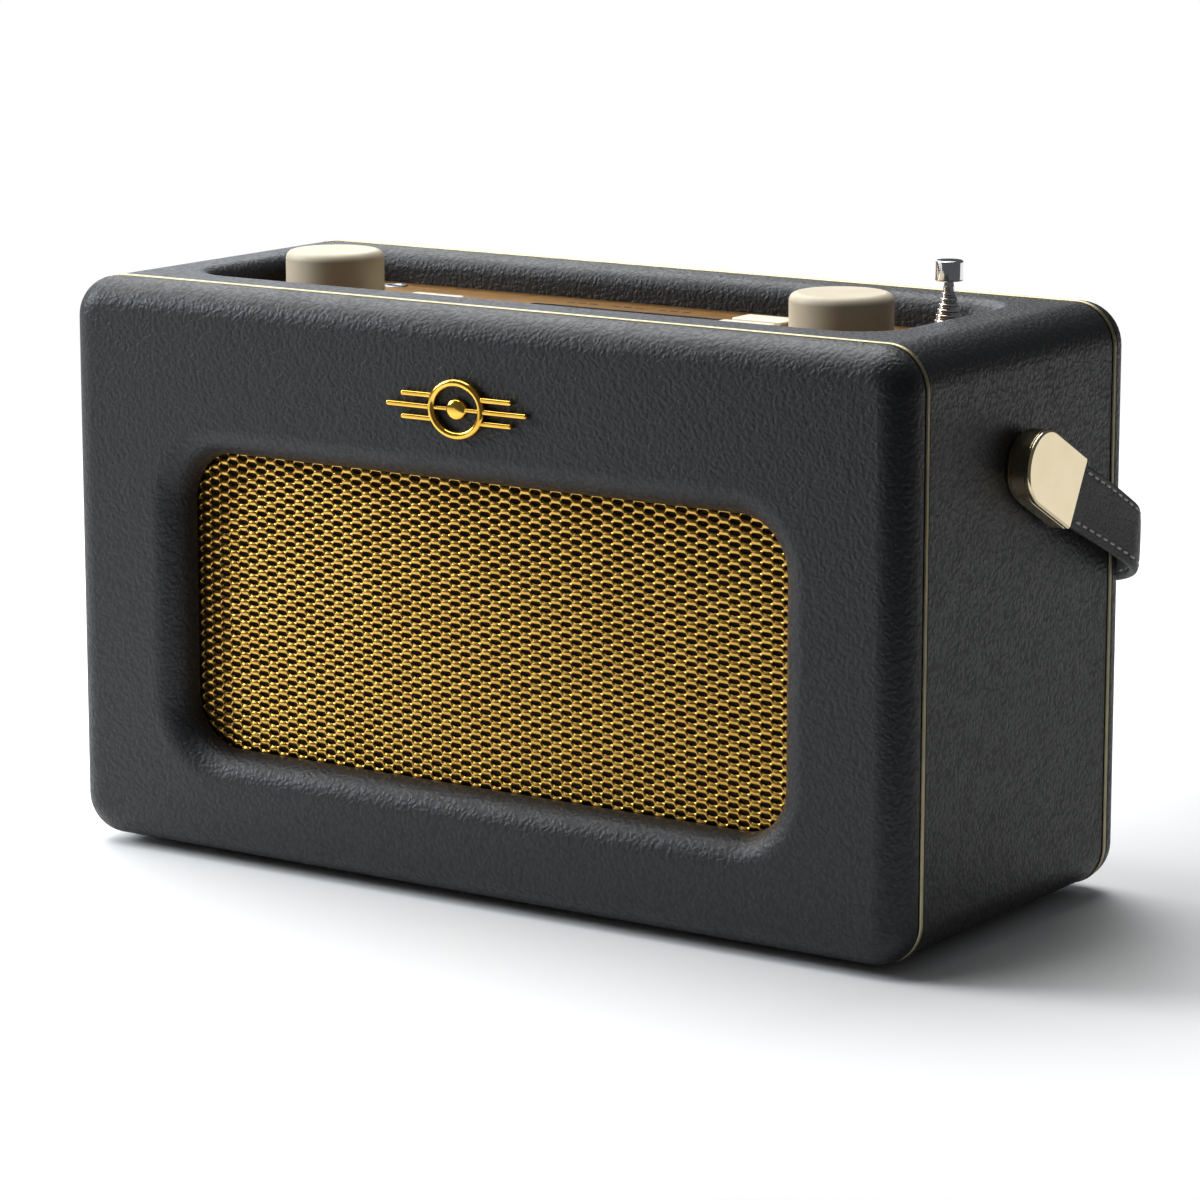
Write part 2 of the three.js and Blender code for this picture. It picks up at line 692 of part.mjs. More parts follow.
function aerialCollar() {
  const bore = AERIAL_RADIUS + GAP;
  return turned([
    [bore, plateBottom - 2],
    [4.4, plateBottom - 2],
    [4.4, PLATE_TOP + GAP],
    [5.4, PLATE_TOP + GAP],
    [5.4, PLATE_TOP + 1],
    [4.8, PLATE_TOP + 1.5],
    [bore, PLATE_TOP + 1.5],
    [bore, plateBottom - 2],
  ], 16);
}

function aerialFoot() {
  const post = rod(5.2, FLOOR_WALL + 3, AERIAL_BOTTOM + 12, 16);
  const bore = rod(AERIAL_RADIUS + GAP, AERIAL_BOTTOM - GAP, AERIAL_BOTTOM + 13, 16);
  return block(16, 24, 3.5, 0, 0, FLOOR_WALL + GAP).add(post).subtract(bore);
}

const aerial = new THREE.Group();
aerial.position.set(AERIAL_X, AERIAL_Y, 0);
radio.add(aerial);
place(aerial, 'aerial_collar', aerialCollar(), CHROME);
place(aerial, 'aerial_foot', aerialFoot(), BLACK_PLASTIC);
for (let section = 0; section < AERIAL_SECTIONS; section += 1) {
  place(aerial, `aerial_section_${section + 1}`, aerialSection(section), CHROME);
}

// Carrying handle. In the handle group +Y runs from the studs to the middle of the strap.

function handleCap(side) {
  const shape = new THREE.Shape();
  shape.absarc(0, 0, CAP_RADIUS, Math.PI / 2, 1.5 * Math.PI);
  shape.lineTo(CAP_LENGTH, -CAP_RADIUS);
  shape.lineTo(CAP_LENGTH, CAP_RADIUS);
  shape.closePath();
  const edge = 0.5;
  const prism = new THREE.ExtrudeGeometry(shape, {
    depth: CAP_OUTER_X - CAP_INNER_X - 2 * edge,
    bevelThickness: edge,
    bevelSize: edge,
    bevelOffset: -edge,
    bevelSegments: 1,
    curveSegments: 9,
  });
  prism.translate(0, 0, CAP_INNER_X + edge);
  prism.rotateX(Math.PI / 2).rotateZ(Math.PI / 2);
  const slotX = STRAP_OUTER_X - STRAP_THICKNESS / 2;
  const slotDepth = CAP_LENGTH - STRAP_START + 2 * GAP;
  const slotY = STRAP_START - GAP + slotDepth / 2;
  const slotWidth = STRAP_WIDTH + 2 * GAP;
  const slot = block(STRAP_THICKNESS + 2 * GAP, slotDepth, slotWidth, slotX, slotY, -slotWidth / 2);
  const bore = rod(STUD_PIVOT + GAP, CAP_INNER_X - 1, CAP_OUTER_X - 1.4, 12, 'x');
  const cap = solid(prism).subtract(slot).subtract(bore);
  return side > 0 ? cap : cap.rotate([0, 180, 0]);
}

// One strap half: a straight arm, a bend and half of the crosspiece, then the same mirrored
function handleStrap() {
  const outer = STRAP_OUTER_X;
  const inner = outer - STRAP_THICKNESS;
  const bendEndX = outer - STRAP_BEND_X;
  const bendStartY = STRAP_REACH - STRAP_BEND_Y;
  const innerBendX = STRAP_BEND_X - STRAP_THICKNESS;
  const innerBendY = STRAP_BEND_Y - STRAP_THICKNESS;
  const quarter = Math.PI / 2;
  const shape = new THREE.Shape();
  shape.moveTo(outer, STRAP_START);
  shape.absellipse(bendEndX, bendStartY, STRAP_BEND_X, STRAP_BEND_Y, 0, quarter);
  shape.absellipse(-bendEndX, bendStartY, STRAP_BEND_X, STRAP_BEND_Y, quarter, 2 * quarter);
  shape.lineTo(-outer, STRAP_START);
  shape.lineTo(-inner, STRAP_START);
  shape.absellipse(-bendEndX, bendStartY, innerBendX, innerBendY, 2 * quarter, quarter, true);
  shape.absellipse(bendEndX, bendStartY, innerBendX, innerBendY, quarter, 0, true);
  shape.lineTo(inner, STRAP_START);
  shape.closePath();
  return lying(shape, -STRAP_WIDTH / 2, STRAP_WIDTH / 2, 7);
}

// Threaded into the side wall, with a flange that spaces the cap off the leather
function handleStud(side) {
  const stud = turned([
    [0, CASE_WIDTH / 2 - SIDE_WALL + 1],
    [STUD_SHANK, CASE_WIDTH / 2 - SIDE_WALL + 1],
    [STUD_SHANK, CASE_WIDTH / 2 + GAP],
    [STUD_FLANGE, CASE_WIDTH / 2 + GAP],
    [STUD_FLANGE, CAP_INNER_X - GAP],
    [STUD_PIVOT, CAP_INNER_X - GAP],
    [STUD_PIVOT, CAP_OUTER_X - 1.8],
    [0, CAP_OUTER_X - 1.8],
  ], 16, 'x');
  return side > 0 ? stud : stud.rotate([0, 180, 0]);
}

const handle = new THREE.Group();
handle.position.set(0, 0, HANDLE_Z);
handle.rotation.x = -HANDLE_DROOP;
radio.add(handle);
place(handle, 'handle_strap', handleStrap(), STRAP_LEATHER);
for (const [name, side] of [['left', -1], ['right', 1]]) {
  place(handle, `handle_cap_${name}`, handleCap(side), GOLD);
  place(radio, `handle_stud_${name}`, handleStud(side), GOLD).position.set(0, 0, HANDLE_Z);
}

// Battery compartment, sockets and main board

function batteryDoor() {
  const height = DOOR_OPENING_BOTTOM + DOOR_OPENING_HEIGHT - DOOR_CLEARANCE - DOOR_BOTTOM;
  const width = DOOR_OPENING_WIDTH - 2 * DOOR_CLEARANCE;
  const corner = DOOR_CORNER - DOOR_CLEARANCE;
  const outline = roundedRect(width, height, corner, 0, DOOR_BOTTOM + height / 2);
  const leaf = standing(outline, DOOR_OUTER_Y - DOOR_THICKNESS, DOOR_OUTER_Y, 4);
  const pins = doorPins(1, DOOR_OPENING_WIDTH / 2 + 1.6);
  return leaf.add(pins);
}

function batteryHolder() {
  const [width, height, front, back] = [148, 67, 8.5, 46];
  const depth = back - front;
  const bottom = FLOOR_WALL + GAP;
  const box = block(width, depth, height, 0, front + depth / 2, bottom);
  return box.subtract(block(width - 4, depth, height - 4, 0, front + 2 + depth / 2, bottom + 2));
}

function batteryPack() {
  const cells = [];
  for (const column of [-1.5, -0.5, 0.5, 1.5]) {
    const cell = rod(CELL_RADIUS, FLOOR_WALL + 3, FLOOR_WALL + 64.5, 20);
    cells.push(cell.translate([column * CELL_PITCH, 28.5, 0]));
  }
  return union(cells);
}

function socketPlate() {
  let plate = standing(socketPlateOutline(), REAR_FACE_Y - 3.4, REAR_FACE_Y - 0.4, 3);
  for (const side of [-1, 1]) {
    const x = SOCKET_X + (side * SOCKET_SPACING) / 2;
    const hole = rod(SOCKET_RADIUS + GAP, REAR_FACE_Y - 5, REAR_FACE_Y + 1, 16, 'y');
    plate = plate.subtract(hole.translate([x, 0, SOCKET_Z]));
  }
  return plate;
}

// A round socket with a blind bore; the power inlet has a centre pin in its bore
function socket(boreRadius, pinRadius) {
  const from = BOARD_REAR_Y + GAP;
  const to = REAR_FACE_Y - 0.6;
  const body = rod(SOCKET_RADIUS, from, to, 16, 'y').subtract(rod(boreRadius, to - 9, to + 1, 12, 'y'));
  return pinRadius > 0 ? body.add(rod(pinRadius, to - 10, to - 1, 8, 'y')) : body;
}

function mainBoard() {
  const boardBottom = BOARD_Z - BOARD_HEIGHT / 2;
  const board = block(BOARD_WIDTH, 1.6, BOARD_HEIGHT, BOARD_X, BOARD_REAR_Y - 0.8, boardBottom);
  const tuner = block(32, 4.1, 22, BOARD_X + 20, BOARD_REAR_Y - 3.5, BOARD_Z - 11);
  const amplifier = block(18, 9.1, 12, BOARD_X - 30, BOARD_REAR_Y - 6, BOARD_Z - 6);
  return union([board, tuner, amplifier]);
}

place(radio, 'battery_door', batteryDoor(), LEATHER);
place(radio, 'battery_holder', batteryHolder(), BLACK_PLASTIC);
place(radio, 'battery_pack', batteryPack(), CELL_WRAP);
place(radio, 'main_board', mainBoard(), BOARD_GREEN);
place(radio, 'socket_plate', socketPlate(), BLACK_PLASTIC);
const sockets = [['power_inlet', -1, 2.75, 0.9], ['headphone_socket', 1, 1.8, 0]];
for (const [name, side, boreRadius, pinRadius] of sockets) {
  const mesh = place(radio, name, socket(boreRadius, pinRadius), BLACK_PLASTIC);
  mesh.position.set(SOCKET_X + (side * SOCKET_SPACING) / 2, 0, SOCKET_Z);
}

export default radio;
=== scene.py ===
import json
import math

import bmesh
import bpy
from mathutils import Matrix, Vector


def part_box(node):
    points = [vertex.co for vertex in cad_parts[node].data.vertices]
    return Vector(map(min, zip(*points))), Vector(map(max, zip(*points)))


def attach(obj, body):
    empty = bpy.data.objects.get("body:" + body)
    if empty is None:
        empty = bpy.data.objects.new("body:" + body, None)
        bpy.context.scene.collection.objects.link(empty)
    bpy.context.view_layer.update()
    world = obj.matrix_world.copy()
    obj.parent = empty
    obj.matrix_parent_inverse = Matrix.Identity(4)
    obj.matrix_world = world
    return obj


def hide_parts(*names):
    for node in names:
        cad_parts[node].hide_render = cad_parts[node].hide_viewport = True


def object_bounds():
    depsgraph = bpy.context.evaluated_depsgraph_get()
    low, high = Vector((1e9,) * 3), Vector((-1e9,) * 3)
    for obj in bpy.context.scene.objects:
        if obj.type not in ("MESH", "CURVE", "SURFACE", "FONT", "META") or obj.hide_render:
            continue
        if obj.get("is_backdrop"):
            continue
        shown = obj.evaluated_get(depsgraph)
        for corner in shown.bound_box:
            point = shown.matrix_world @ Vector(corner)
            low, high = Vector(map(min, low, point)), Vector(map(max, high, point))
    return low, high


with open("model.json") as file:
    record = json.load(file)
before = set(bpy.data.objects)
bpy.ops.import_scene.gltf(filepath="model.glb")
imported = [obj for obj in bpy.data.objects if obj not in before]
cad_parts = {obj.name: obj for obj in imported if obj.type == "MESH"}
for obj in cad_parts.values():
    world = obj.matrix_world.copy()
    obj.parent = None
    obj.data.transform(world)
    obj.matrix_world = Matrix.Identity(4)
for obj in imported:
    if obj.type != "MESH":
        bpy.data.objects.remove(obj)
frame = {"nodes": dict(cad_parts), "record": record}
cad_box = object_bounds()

# Lengths below are in millimetres in the row frame: +X the listener's right, -Y the front, +Z up.
MM = 0.001
scene = bpy.context.scene


def corners(node):
    """Lowest and highest corner of a CAD node, in millimetres."""
    lo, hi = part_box(node)
    return lo / MM, hi / MM


def middle(node):
    lo, hi = corners(node)
    return (lo + hi) / 2


def base_of(node):
    """The middle of a CAD node's underside."""
    mid = middle(node)
    return mid.x, mid.y, corners(node)[0].z


# ---------------------------------------------------------------- meshes


class Form:
    """Points in millimetres and faces, built up ring by ring."""

    def __init__(self):
        self.points = []
        self.faces = []

    def ring(self, points):
        first = len(self.points)
        self.points.extend(points)
        return list(range(first, len(self.points)))

    def bridge(self, a, b, closed=True, skip=()):
        count = len(a)
        for i in range(count if closed else count - 1):
            j = (i + 1) % count
            if i not in skip:
                self.faces.append((a[i], a[j], b[j], b[i]))

    def cap(self, ring):
        self.faces.append(tuple(ring))

    def loft(self, rings, caps=(True, True), wrap=False, skip=()):
        made = [self.ring(points) for points in rings]
        for a, b in zip(made, made[1:]):
            self.bridge(a, b, skip=skip)
        if wrap:
            self.bridge(made[-1], made[0])
        else:
            if caps[0]:
                self.cap(made[0])
            if caps[1]:
                self.cap(made[-1])
        return made

    def turn(self, profile, centre, axis="z", segments=48, squash=1.0):
        """A lathe: the profile is a list of (radius, distance along the axis)."""
        cx, cy, cz = centre
        made = []
        for radius, along in profile:
            ring = []
            for i in range(segments if radius > 1e-6 else 1):
                t = 2 * math.pi * i / segments
                u, v = radius * math.cos(t), radius * squash * math.sin(t)
                if axis == "z":
                    ring.append((cx + u, cy + v, cz + along))
                elif axis == "y":
                    ring.append((cx + u, cy + along, cz + v))
                else:
                    ring.append((cx + along, cy + u, cz + v))
            made.append(self.ring(ring))
        for a, b in zip(made, made[1:]):
            if len(a) == 1 and len(b) == 1:
                continue
            if len(a) == 1:
                self.faces.extend((a[0], b[i], b[(i + 1) % segments]) for i in range(segments))
            elif len(b) == 1:
                self.faces.extend((a[i], a[(i + 1) % segments], b[0]) for i in range(segments))
            else:
                self.bridge(a, b)
        return made


def rounded_loop(width, height, radius, centre=(0, 0), arc=8, across=16, up=8):
    """Points round a rounded rectangle, anticlockwise from the right end of its top right corner."""
    a, b = width / 2 - radius, height / 2 - radius
    hubs = [(a, b), (-a, b), (-a, -b), (a, -b)]
    points = []
    for k, (hx, hy) in enumerate(hubs):
        for i in range(arc + 1):
            t = math.radians(90 * k + 90 * i / arc)
            points.append((centre[0] + hx + radius * math.cos(t), centre[1] + hy + radius * math.sin(t)))
        x0, y0 = points[-1]
        t = math.radians(90 * (k + 1))
        nx, ny = hubs[(k + 1) % 4]
        x1 = centre[0] + nx + radius * math.cos(t)
        y1 = centre[1] + ny + radius * math.sin(t)
        steps = up if k % 2 else across
        for i in range(1, steps):
            points.append((x0 + (x1 - x0) * i / steps, y0 + (y1 - y0) * i / steps))
    return points


def quarter(steps):
    """(sine, cosine) from 0 to 90 degrees."""
    angles = [math.pi / 2 * i / steps for i in range(steps + 1)]
    return [(math.sin(t), math.cos(t)) for t in angles]


def mesh_of(name, form, sharp=38):
    mesh = bpy.data.meshes.new(name)
    mesh.from_pydata([Vector(p) * MM for p in form.points], [], form.faces)
    edit = bmesh.new()
    edit.from_mesh(mesh)
    bmesh.ops.remove_doubles(edit, verts=edit.verts, dist=2e-6)
    bmesh.ops.recalc_face_normals(edit, faces=edit.faces)
    edit.to_mesh(mesh)
    edit.free()
    mesh.shade_smooth()
    mesh.set_sharp_from_angle(angle=math.radians(sharp))
    return mesh


def piece(name, form, finish, body, nodes=(), sharp=38, weighted=True):
    """A finished piece that rides on a CAD body and stands for CAD nodes."""
    mesh = form if isinstance(form, bpy.types.Mesh) else mesh_of(name, form, sharp)
    obj = bpy.data.objects.new(name, mesh)
    scene.collection.objects.link(obj)
    mesh.materials.clear()
    mesh.materials.append(finish)
    if weighted:
        modifier = obj.modifiers.new("flat_faces", "WEIGHTED_NORMAL")
        modifier.keep_sharp = True
        modifier.weight = 80
    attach(obj, body)
    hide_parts(*nodes)
    return obj


def cut(name, form, cutters, sharp=38):
    """The form's mesh with the cutter forms taken out of it."""
    whole = bpy.data.objects.new(name, mesh_of(name, form, sharp))
    scene.collection.objects.link(whole)
    tools = []
    for i, cutter in enumerate(cutters):
        tool = bpy.data.objects.new(f"{name}_cutter_{i}", mesh_of(f"{name}_cutter_{i}", cutter))
        scene.collection.objects.link(tool)
        modifier = whole.modifiers.new(f"cut_{i}", "BOOLEAN")
        modifier.operation = "DIFFERENCE"
        modifier.solver = "EXACT"
        modifier.object = tool
        tools.append(tool)
    bpy.context.view_layer.update()
    graph = bpy.context.evaluated_depsgraph_get()
    mesh = bpy.data.meshes.new_from_object(whole.evaluated_get(graph))
    mesh.name = name + "_mesh"
    for obj in [whole, *tools]:
        old = obj.data
        bpy.data.objects.remove(obj)
        bpy.data.meshes.remove(old)
    mesh.shade_smooth()
    mesh.set_sharp_from_angle(angle=math.radians(sharp))
    return mesh


# ---------------------------------------------------------------- materials


class Finish:
    """A node material, with short calls that add nodes and link them."""

    def __init__(self, name, **shader):
        self.material = bpy.data.materials.new(name)
        self.material.use_nodes = True
        self.tree = self.material.node_tree
        self.shader = self.tree.nodes["Principled BSDF"]
        self.coords = self.tree.nodes.new("ShaderNodeTexCoord").outputs["Object"]
        for socket, value in shader.items():
            self.shader.inputs[socket.replace("_", " ")].default_value = value

    def feed(self, socket, value):
        if isinstance(value, bpy.types.NodeSocket):
            self.tree.links.new(value, socket)
        else:
            socket.default_value = value

    def add(self, kind, inputs, **settings):
        node = self.tree.nodes.new(kind)
        for key, value in settings.items():
            setattr(node, key, value)
        for key, value in inputs.items():
            self.feed(node.inputs[key], value)
        return node

    def math(self, operation, a, b=0.0):
        return self.add("ShaderNodeMath", {0: a, 1: b}, operation=operation).outputs[0]

    def vector(self, operation, a, b):
        return self.add("ShaderNodeVectorMath", {0: a, 1: b}, operation=operation).outputs[0]

    def stretch(self, scale, coords=None):
        return self.vector("MULTIPLY", coords or self.coords, scale)

    def noise(self, size, detail=3.0, rough=0.55, coords=None, colour=False):
        """Noise whose features are about that many millimetres across."""
        inputs = {"Vector": coords or self.coords, "Scale": 1 / (size * MM)}
        inputs |= {"Detail": detail, "Roughness": rough}
        node = self.add("ShaderNodeTexNoise", inputs)
        return node.outputs["Color" if colour else "Fac"]

    def cells(self, size, coords=None, feature="DISTANCE_TO_EDGE", output="Distance"):
        inputs = {"Vector": coords or self.coords, "Scale": 1 / (size * MM)}
        return self.add("ShaderNodeTexVoronoi", inputs, feature=feature).outputs[output]

    def ramp(self, factor, stops):
        node = self.add("ShaderNodeValToRGB", {"Fac": factor})
        elements = node.color_ramp.elements
        while len(elements) < len(stops):
            elements.new(0.5)
        for element, (position, value) in zip(elements, stops):
            element.position = position
            element.color = value if isinstance(value, tuple) else (value, value, value, 1)
        return node.outputs["Color"]

    def spread(self, factor, low, high):
        """Carries a factor from 0..1 to low..high."""
        inputs = {"Value": factor, "To Min": low, "To Max": high}
        return self.add("ShaderNodeMapRange", inputs).outputs["Result"]

    def mix(self, factor, a, b, blend="MIX"):
        node = self.add("ShaderNodeMix", {}, data_type="RGBA", blend_type=blend)
        self.feed(node.inputs["Factor"], factor)
        self.feed(node.inputs[6], a)
        self.feed(node.inputs[7], b)
        return node.outputs[2]

    def bump(self, height, strength, depth, under=None):
        """Relief of the given depth in millimetres."""
        inputs = {"Height": height, "Strength": strength, "Distance": depth * MM}
        if under is not None:
            inputs["Normal"] = under
        return self.add("ShaderNodeBump", inputs).outputs["Normal"]

    def done(self, colour=None, roughness=None, normal=None):
        for socket, value in (("Base Color", colour), ("Roughness", roughness), ("Normal", normal)):
            if value is not None:
                self.feed(self.shader.inputs[socket], value)
        return self.material


def rgb(r, g, b):
    """A display colour of 0 to 255 a channel as the linear colour that nodes take."""
    linear = [((c / 255 + 0.055) / 1.055) ** 2.4 if c > 10 else c / 255 / 12.92 for c in (r, g, b)]
    return (*linear, 1.0)


def leather(name, raised, crease, grain=1.5, depth=0.16, shine=(0.38, 0.6), specular=0.5):
    """Pebbled grain: soft domes of uneven size with shallow valleys between them, over a fine pore."""
    f = Finish(name, Specular_IOR_Level=specular)
    wobble = f.vector("SUBTRACT", f.noise(grain * 2.2, 2, colour=True), (0.5, 0.5, 0.5))
    place = f.vector("ADD", f.coords, f.vector("MULTIPLY", wobble, (grain * 1.6 * MM,) * 3))
    domes = f.ramp(f.cells(grain, place, "SMOOTH_F1"), [(0.08, 1.0), (0.3, 0.8), (0.62, 0.12), (0.85, 0.0)])
    small = f.ramp(f.cells(grain * 0.5, place, "SMOOTH_F1"), [(0.1, 1.0), (0.75, 0.0)])
    fine = f.noise(grain * 0.22, 3)
    relief = f.math("ADD", f.math("MULTIPLY", domes, 0.66), f.math("MULTIPLY", small, 0.2))
    relief = f.math("ADD", relief, f.math("MULTIPLY", fine, 0.14))
    cloud = f.noise(38, 3)
    tone = f.mix(f.spread(cloud, 0.0, 0.5), raised, crease)
    colour = f.mix(f.spread(relief, 0.0, 1.0), crease, f.mix(0.4, raised, tone))
    patch = f.noise(7, 3)
    rough = f.math("ADD", f.spread(relief, shine[1], shine[0]), f.spread(patch, -0.06, 0.06))
    soft = f.bump(f.noise(16, 2), 0.35, 0.5)
    return f.done(colour, rough, f.bump(relief, 1.0, depth, soft))


def metal(name, colour, shade, rough=0.22, grain=0.35, brushed=None, depth=0.01, tarnish=0.5, coat=0.0):
    """Plated metal with slight tarnish, patchy polish and, if asked, brush lines."""
    f = Finish(name, Metallic=1.0, Coat_Weight=coat, Coat_Roughness=0.2)
    blotch = f.noise(5.5, 4)
    tint = f.mix(f.ramp(blotch, [(0.35, 0.0), (0.75, tarnish)]), colour, shade)
    lines = f.noise(grain, 4, 0.6, f.stretch(brushed) if brushed else None)
    polish = f.math("ADD", f.spread(f.noise(2.4, 3), rough * 0.7, rough * 1.35), f.spread(lines, -0.05, 0.05))
    return f.done(tint, polish, f.bump(lines, 0.5, depth))


def plastic(name, colour, shade, rough=0.4, grain=0.25, depth=0.012, coat=0.0, specular=0.5):
    """Moulded plastic with a fine spark-eroded surface and faint shading."""
    f = Finish(name, Coat_Weight=coat, Coat_Roughness=0.12, Specular_IOR_Level=specular)
    cloud = f.noise(9, 3)
    tint = f.mix(f.ramp(cloud, [(0.3, 0.0), (0.8, 1.0)]), colour, shade)
    spark = f.noise(grain, 2)
    polish = f.math("ADD", f.spread(f.noise(3, 3), rough - 0.05, rough + 0.05), f.spread(spark, -0.04, 0.04))
    return f.done(tint, polish, f.bump(spark, 0.6, depth))


def woven(name, colour, shade, pitch=0.6, rough=0.95):
    """A plain weave: crossing threads that stand up in turn."""
    f = Finish(name)
    grid = f.cells(pitch, f.stretch((1.0, 0.3, 1.0)), "F1")
    tint = f.mix(f.spread(grid, 0.0, 1.0), colour, shade)
    return f.done(tint, rough, f.bump(grid, 0.8, 0.12))


def board(name):
    """Circuit board: green lacquer over copper tracks."""
    f = Finish(name, Coat_Weight=0.3)
    tracks = f.cells(2.6, None, "F1", "Color")
    lines = f.ramp(f.cells(3.1), [(0.0, 1.0), (0.05, 1.0), (0.06, 0.0)])
    tint = f.mix(lines, rgb(28, 74, 48), rgb(74, 118, 62))
    tint = f.mix(0.12, tint, tracks)
    return f.done(tint, f.spread(f.noise(1.5), 0.35, 0.55), f.bump(lines, 0.6, 0.05))


def fibre(name, colour, shade, rough=0.85, size=1.1):
    """Pressed fibreboard or paper: short fibres lying every way."""
    f = Finish(name)
    a = f.noise(size, 5, 0.65, f.stretch((1, 4, 1)))
    b = f.noise(size, 5, 0.65, f.stretch((4, 1, 1)))
    fleck = f.math("MULTIPLY", a, b)
    tint = f.mix(f.ramp(fleck, [(0.12, 0.0), (0.42, 1.0)]), shade, colour)
    return f.done(tint, rough, f.bump(fleck, 0.7, 0.1))


leathercloth = leather(
    "leathercloth_grain", rgb(27, 28, 32), rgb(13, 14, 16), grain=1.05, depth=0.17, specular=0.42
)
strap_leather = leather(
    "strap_grain", rgb(30, 30, 32), rgb(12, 12, 13), grain=0.6, depth=0.08, shine=(0.42, 0.66), specular=0.4
)
gold = metal(
    "polished_pale_gold", rgb(228, 213, 178), rgb(214, 194, 150), rough=0.15, depth=0.004, tarnish=0.3
)
badge_gold = metal("badge_gold", rgb(240, 196, 88), rgb(206, 150, 44), rough=0.16, depth=0.004)
bead_gold = metal("bead_gold", rgb(168, 158, 128), rgb(130, 119, 88), rough=0.36, depth=0.01)
mesh_gold = metal(
    "expanded_mesh_gold", rgb(200, 158, 72), rgb(166, 120, 42), rough=0.24, depth=0.01, coat=0.3
)
bronze = metal(
    "brushed_bronze", rgb(150, 108, 48), rgb(112, 79, 32), 0.38, 0.3, brushed=(0.03, 1, 1), tarnish=0.3
)
chrome = metal("chrome_plate", rgb(226, 228, 231), rgb(198, 201, 206), rough=0.08, depth=0.003)
steel = metal("zinc_steel", rgb(168, 171, 175), rgb(128, 131, 136), rough=0.36, depth=0.02)
cream = plastic("cream_plastic", rgb(207, 196, 173), rgb(197, 184, 160), rough=0.48, specular=0.2)
ivory = plastic("ivory_plastic", rgb(236, 226, 202), rgb(228, 217, 190), rough=0.38, specular=0.4)
black = plastic("black_plastic", rgb(26, 26, 27), rgb(17, 17, 18), rough=0.55, grain=0.4, depth=0.03)
rubber = plastic("foot_rubber", rgb(22, 22, 22), rgb(13, 13, 13), rough=0.85, grain=0.6, depth=0.04)
thread = fibre("stitch_thread", rgb(205, 204, 200), rgb(150, 149, 146), size=0.25)
cloth = woven("speaker_cloth", rgb(52, 38, 20), rgb(24, 17, 9))
cell_wrap = plastic("cell_wrap", rgb(52, 96, 148), rgb(38, 78, 128), rough=0.28, coat=0.6)
magnet = plastic("magnet_ferrite", rgb(62, 63, 66), rgb(44, 45, 48), rough=0.7, grain=0.8, depth=0.06)


def dark_glass():
    f = Finish("display_glass", Coat_Weight=1.0, Coat_Roughness=0.03, Roughness=0.12)
    pixels = f.ramp(f.cells(0.5, None, "F1"), [(0.2, 0.0), (0.7, 1.0)])
    tint = f.mix(pixels, rgb(8, 9, 12), rgb(13, 14, 18))
    smear = f.noise(11, 2)
    return f.done(tint, f.spread(smear, 0.08, 0.16), f.bump(smear, 0.1, 0.05))


glass = dark_glass()

finishes = {
    "leathercloth": leathercloth,
    "strap_leather": strap_leather,
    "gold": gold,
    "grille_gold": mesh_gold,
    "bronze": bronze,
    "cream_plastic": cream,
    "ivory_plastic": ivory,
    "chrome": chrome,
    "steel": steel,
    "black_plastic": black,
    "dark_glass": glass,
    "rubber": rubber,
    "cloth": cloth,
    "circuit_board": board("circuit_board_lacquer"),
    "fibreboard": fibre("pressed_fibreboard", rgb(142, 106, 70), rgb(96, 68, 42)),
    "cone_paper": fibre("cone_paper", rgb(52, 48, 45), rgb(26, 24, 22), size=0.7),
    "magnet_grey": magnet,
    "cell_wrap": cell_wrap,
}
slot_of = {part["node"]: part["material_slot"] for part in frame["record"]["subparts"]}
for node, obj in frame["nodes"].items():
    obj.data.materials.clear()
    obj.data.materials.append(finishes[slot_of[node]])


# ---------------------------------------------------------------- case

CASE_CORNER = 10.75
SEAM_ROUND = 0.6
FRONT_ROUND = 8.0
REAR_ROUND = 6.5
WELL_CORNER = 12.0
WELL_ROUND = 4.5
WALL = {"side": 11, "bottom": 8, "top": 10}
CASE_LOOP = {"arc": 10, "across": 24, "up": 12}

sleeve_lo, sleeve_hi = corners("case_sleeve")
front_lo, front_hi = corners("front_frame")
rear_hi = corners("rear_panel")[1]
case_width = sleeve_hi.x - sleeve_lo.x
case_height = sleeve_hi.z - sleeve_lo.z
case_mid_z = (sleeve_lo.z + sleeve_hi.z) / 2


def case_ring(inset, y, width=None, height=None, mid_z=None, corner=CASE_CORNER):
    loop = rounded_loop(
        (width or case_width) - 2 * inset,
        (height or case_height) - 2 * inset,
        corner - inset,
        (0, mid_z or case_mid_z),
        **CASE_LOOP,
    )
    return [(x, y, z) for x, z in loop]


def well_ring(offset, z):
    """A ring of the control well, clockwise from the front right corner as seen from above."""
    lo, hi = corners("control_plate")
    width, depth = hi.x - lo.x + 0.8, hi.y - lo.y + 0.8
    centre = ((lo.x + hi.x) / 2, (lo.y + hi.y) / 2)
    arc, across, up = 8, 16, 6
    loop = rounded_loop(width + 2 * offset, depth + 2 * offset, WELL_CORNER + offset, centre, arc, across, up)
    start = 3 * (arc + 1) + (across - 1) * 2 + (up - 1) + arc // 2
    turned = loop[start:] + loop[:start]
    return [(x, y, z) for x, y in [turned[0]] + turned[:0:-1]]


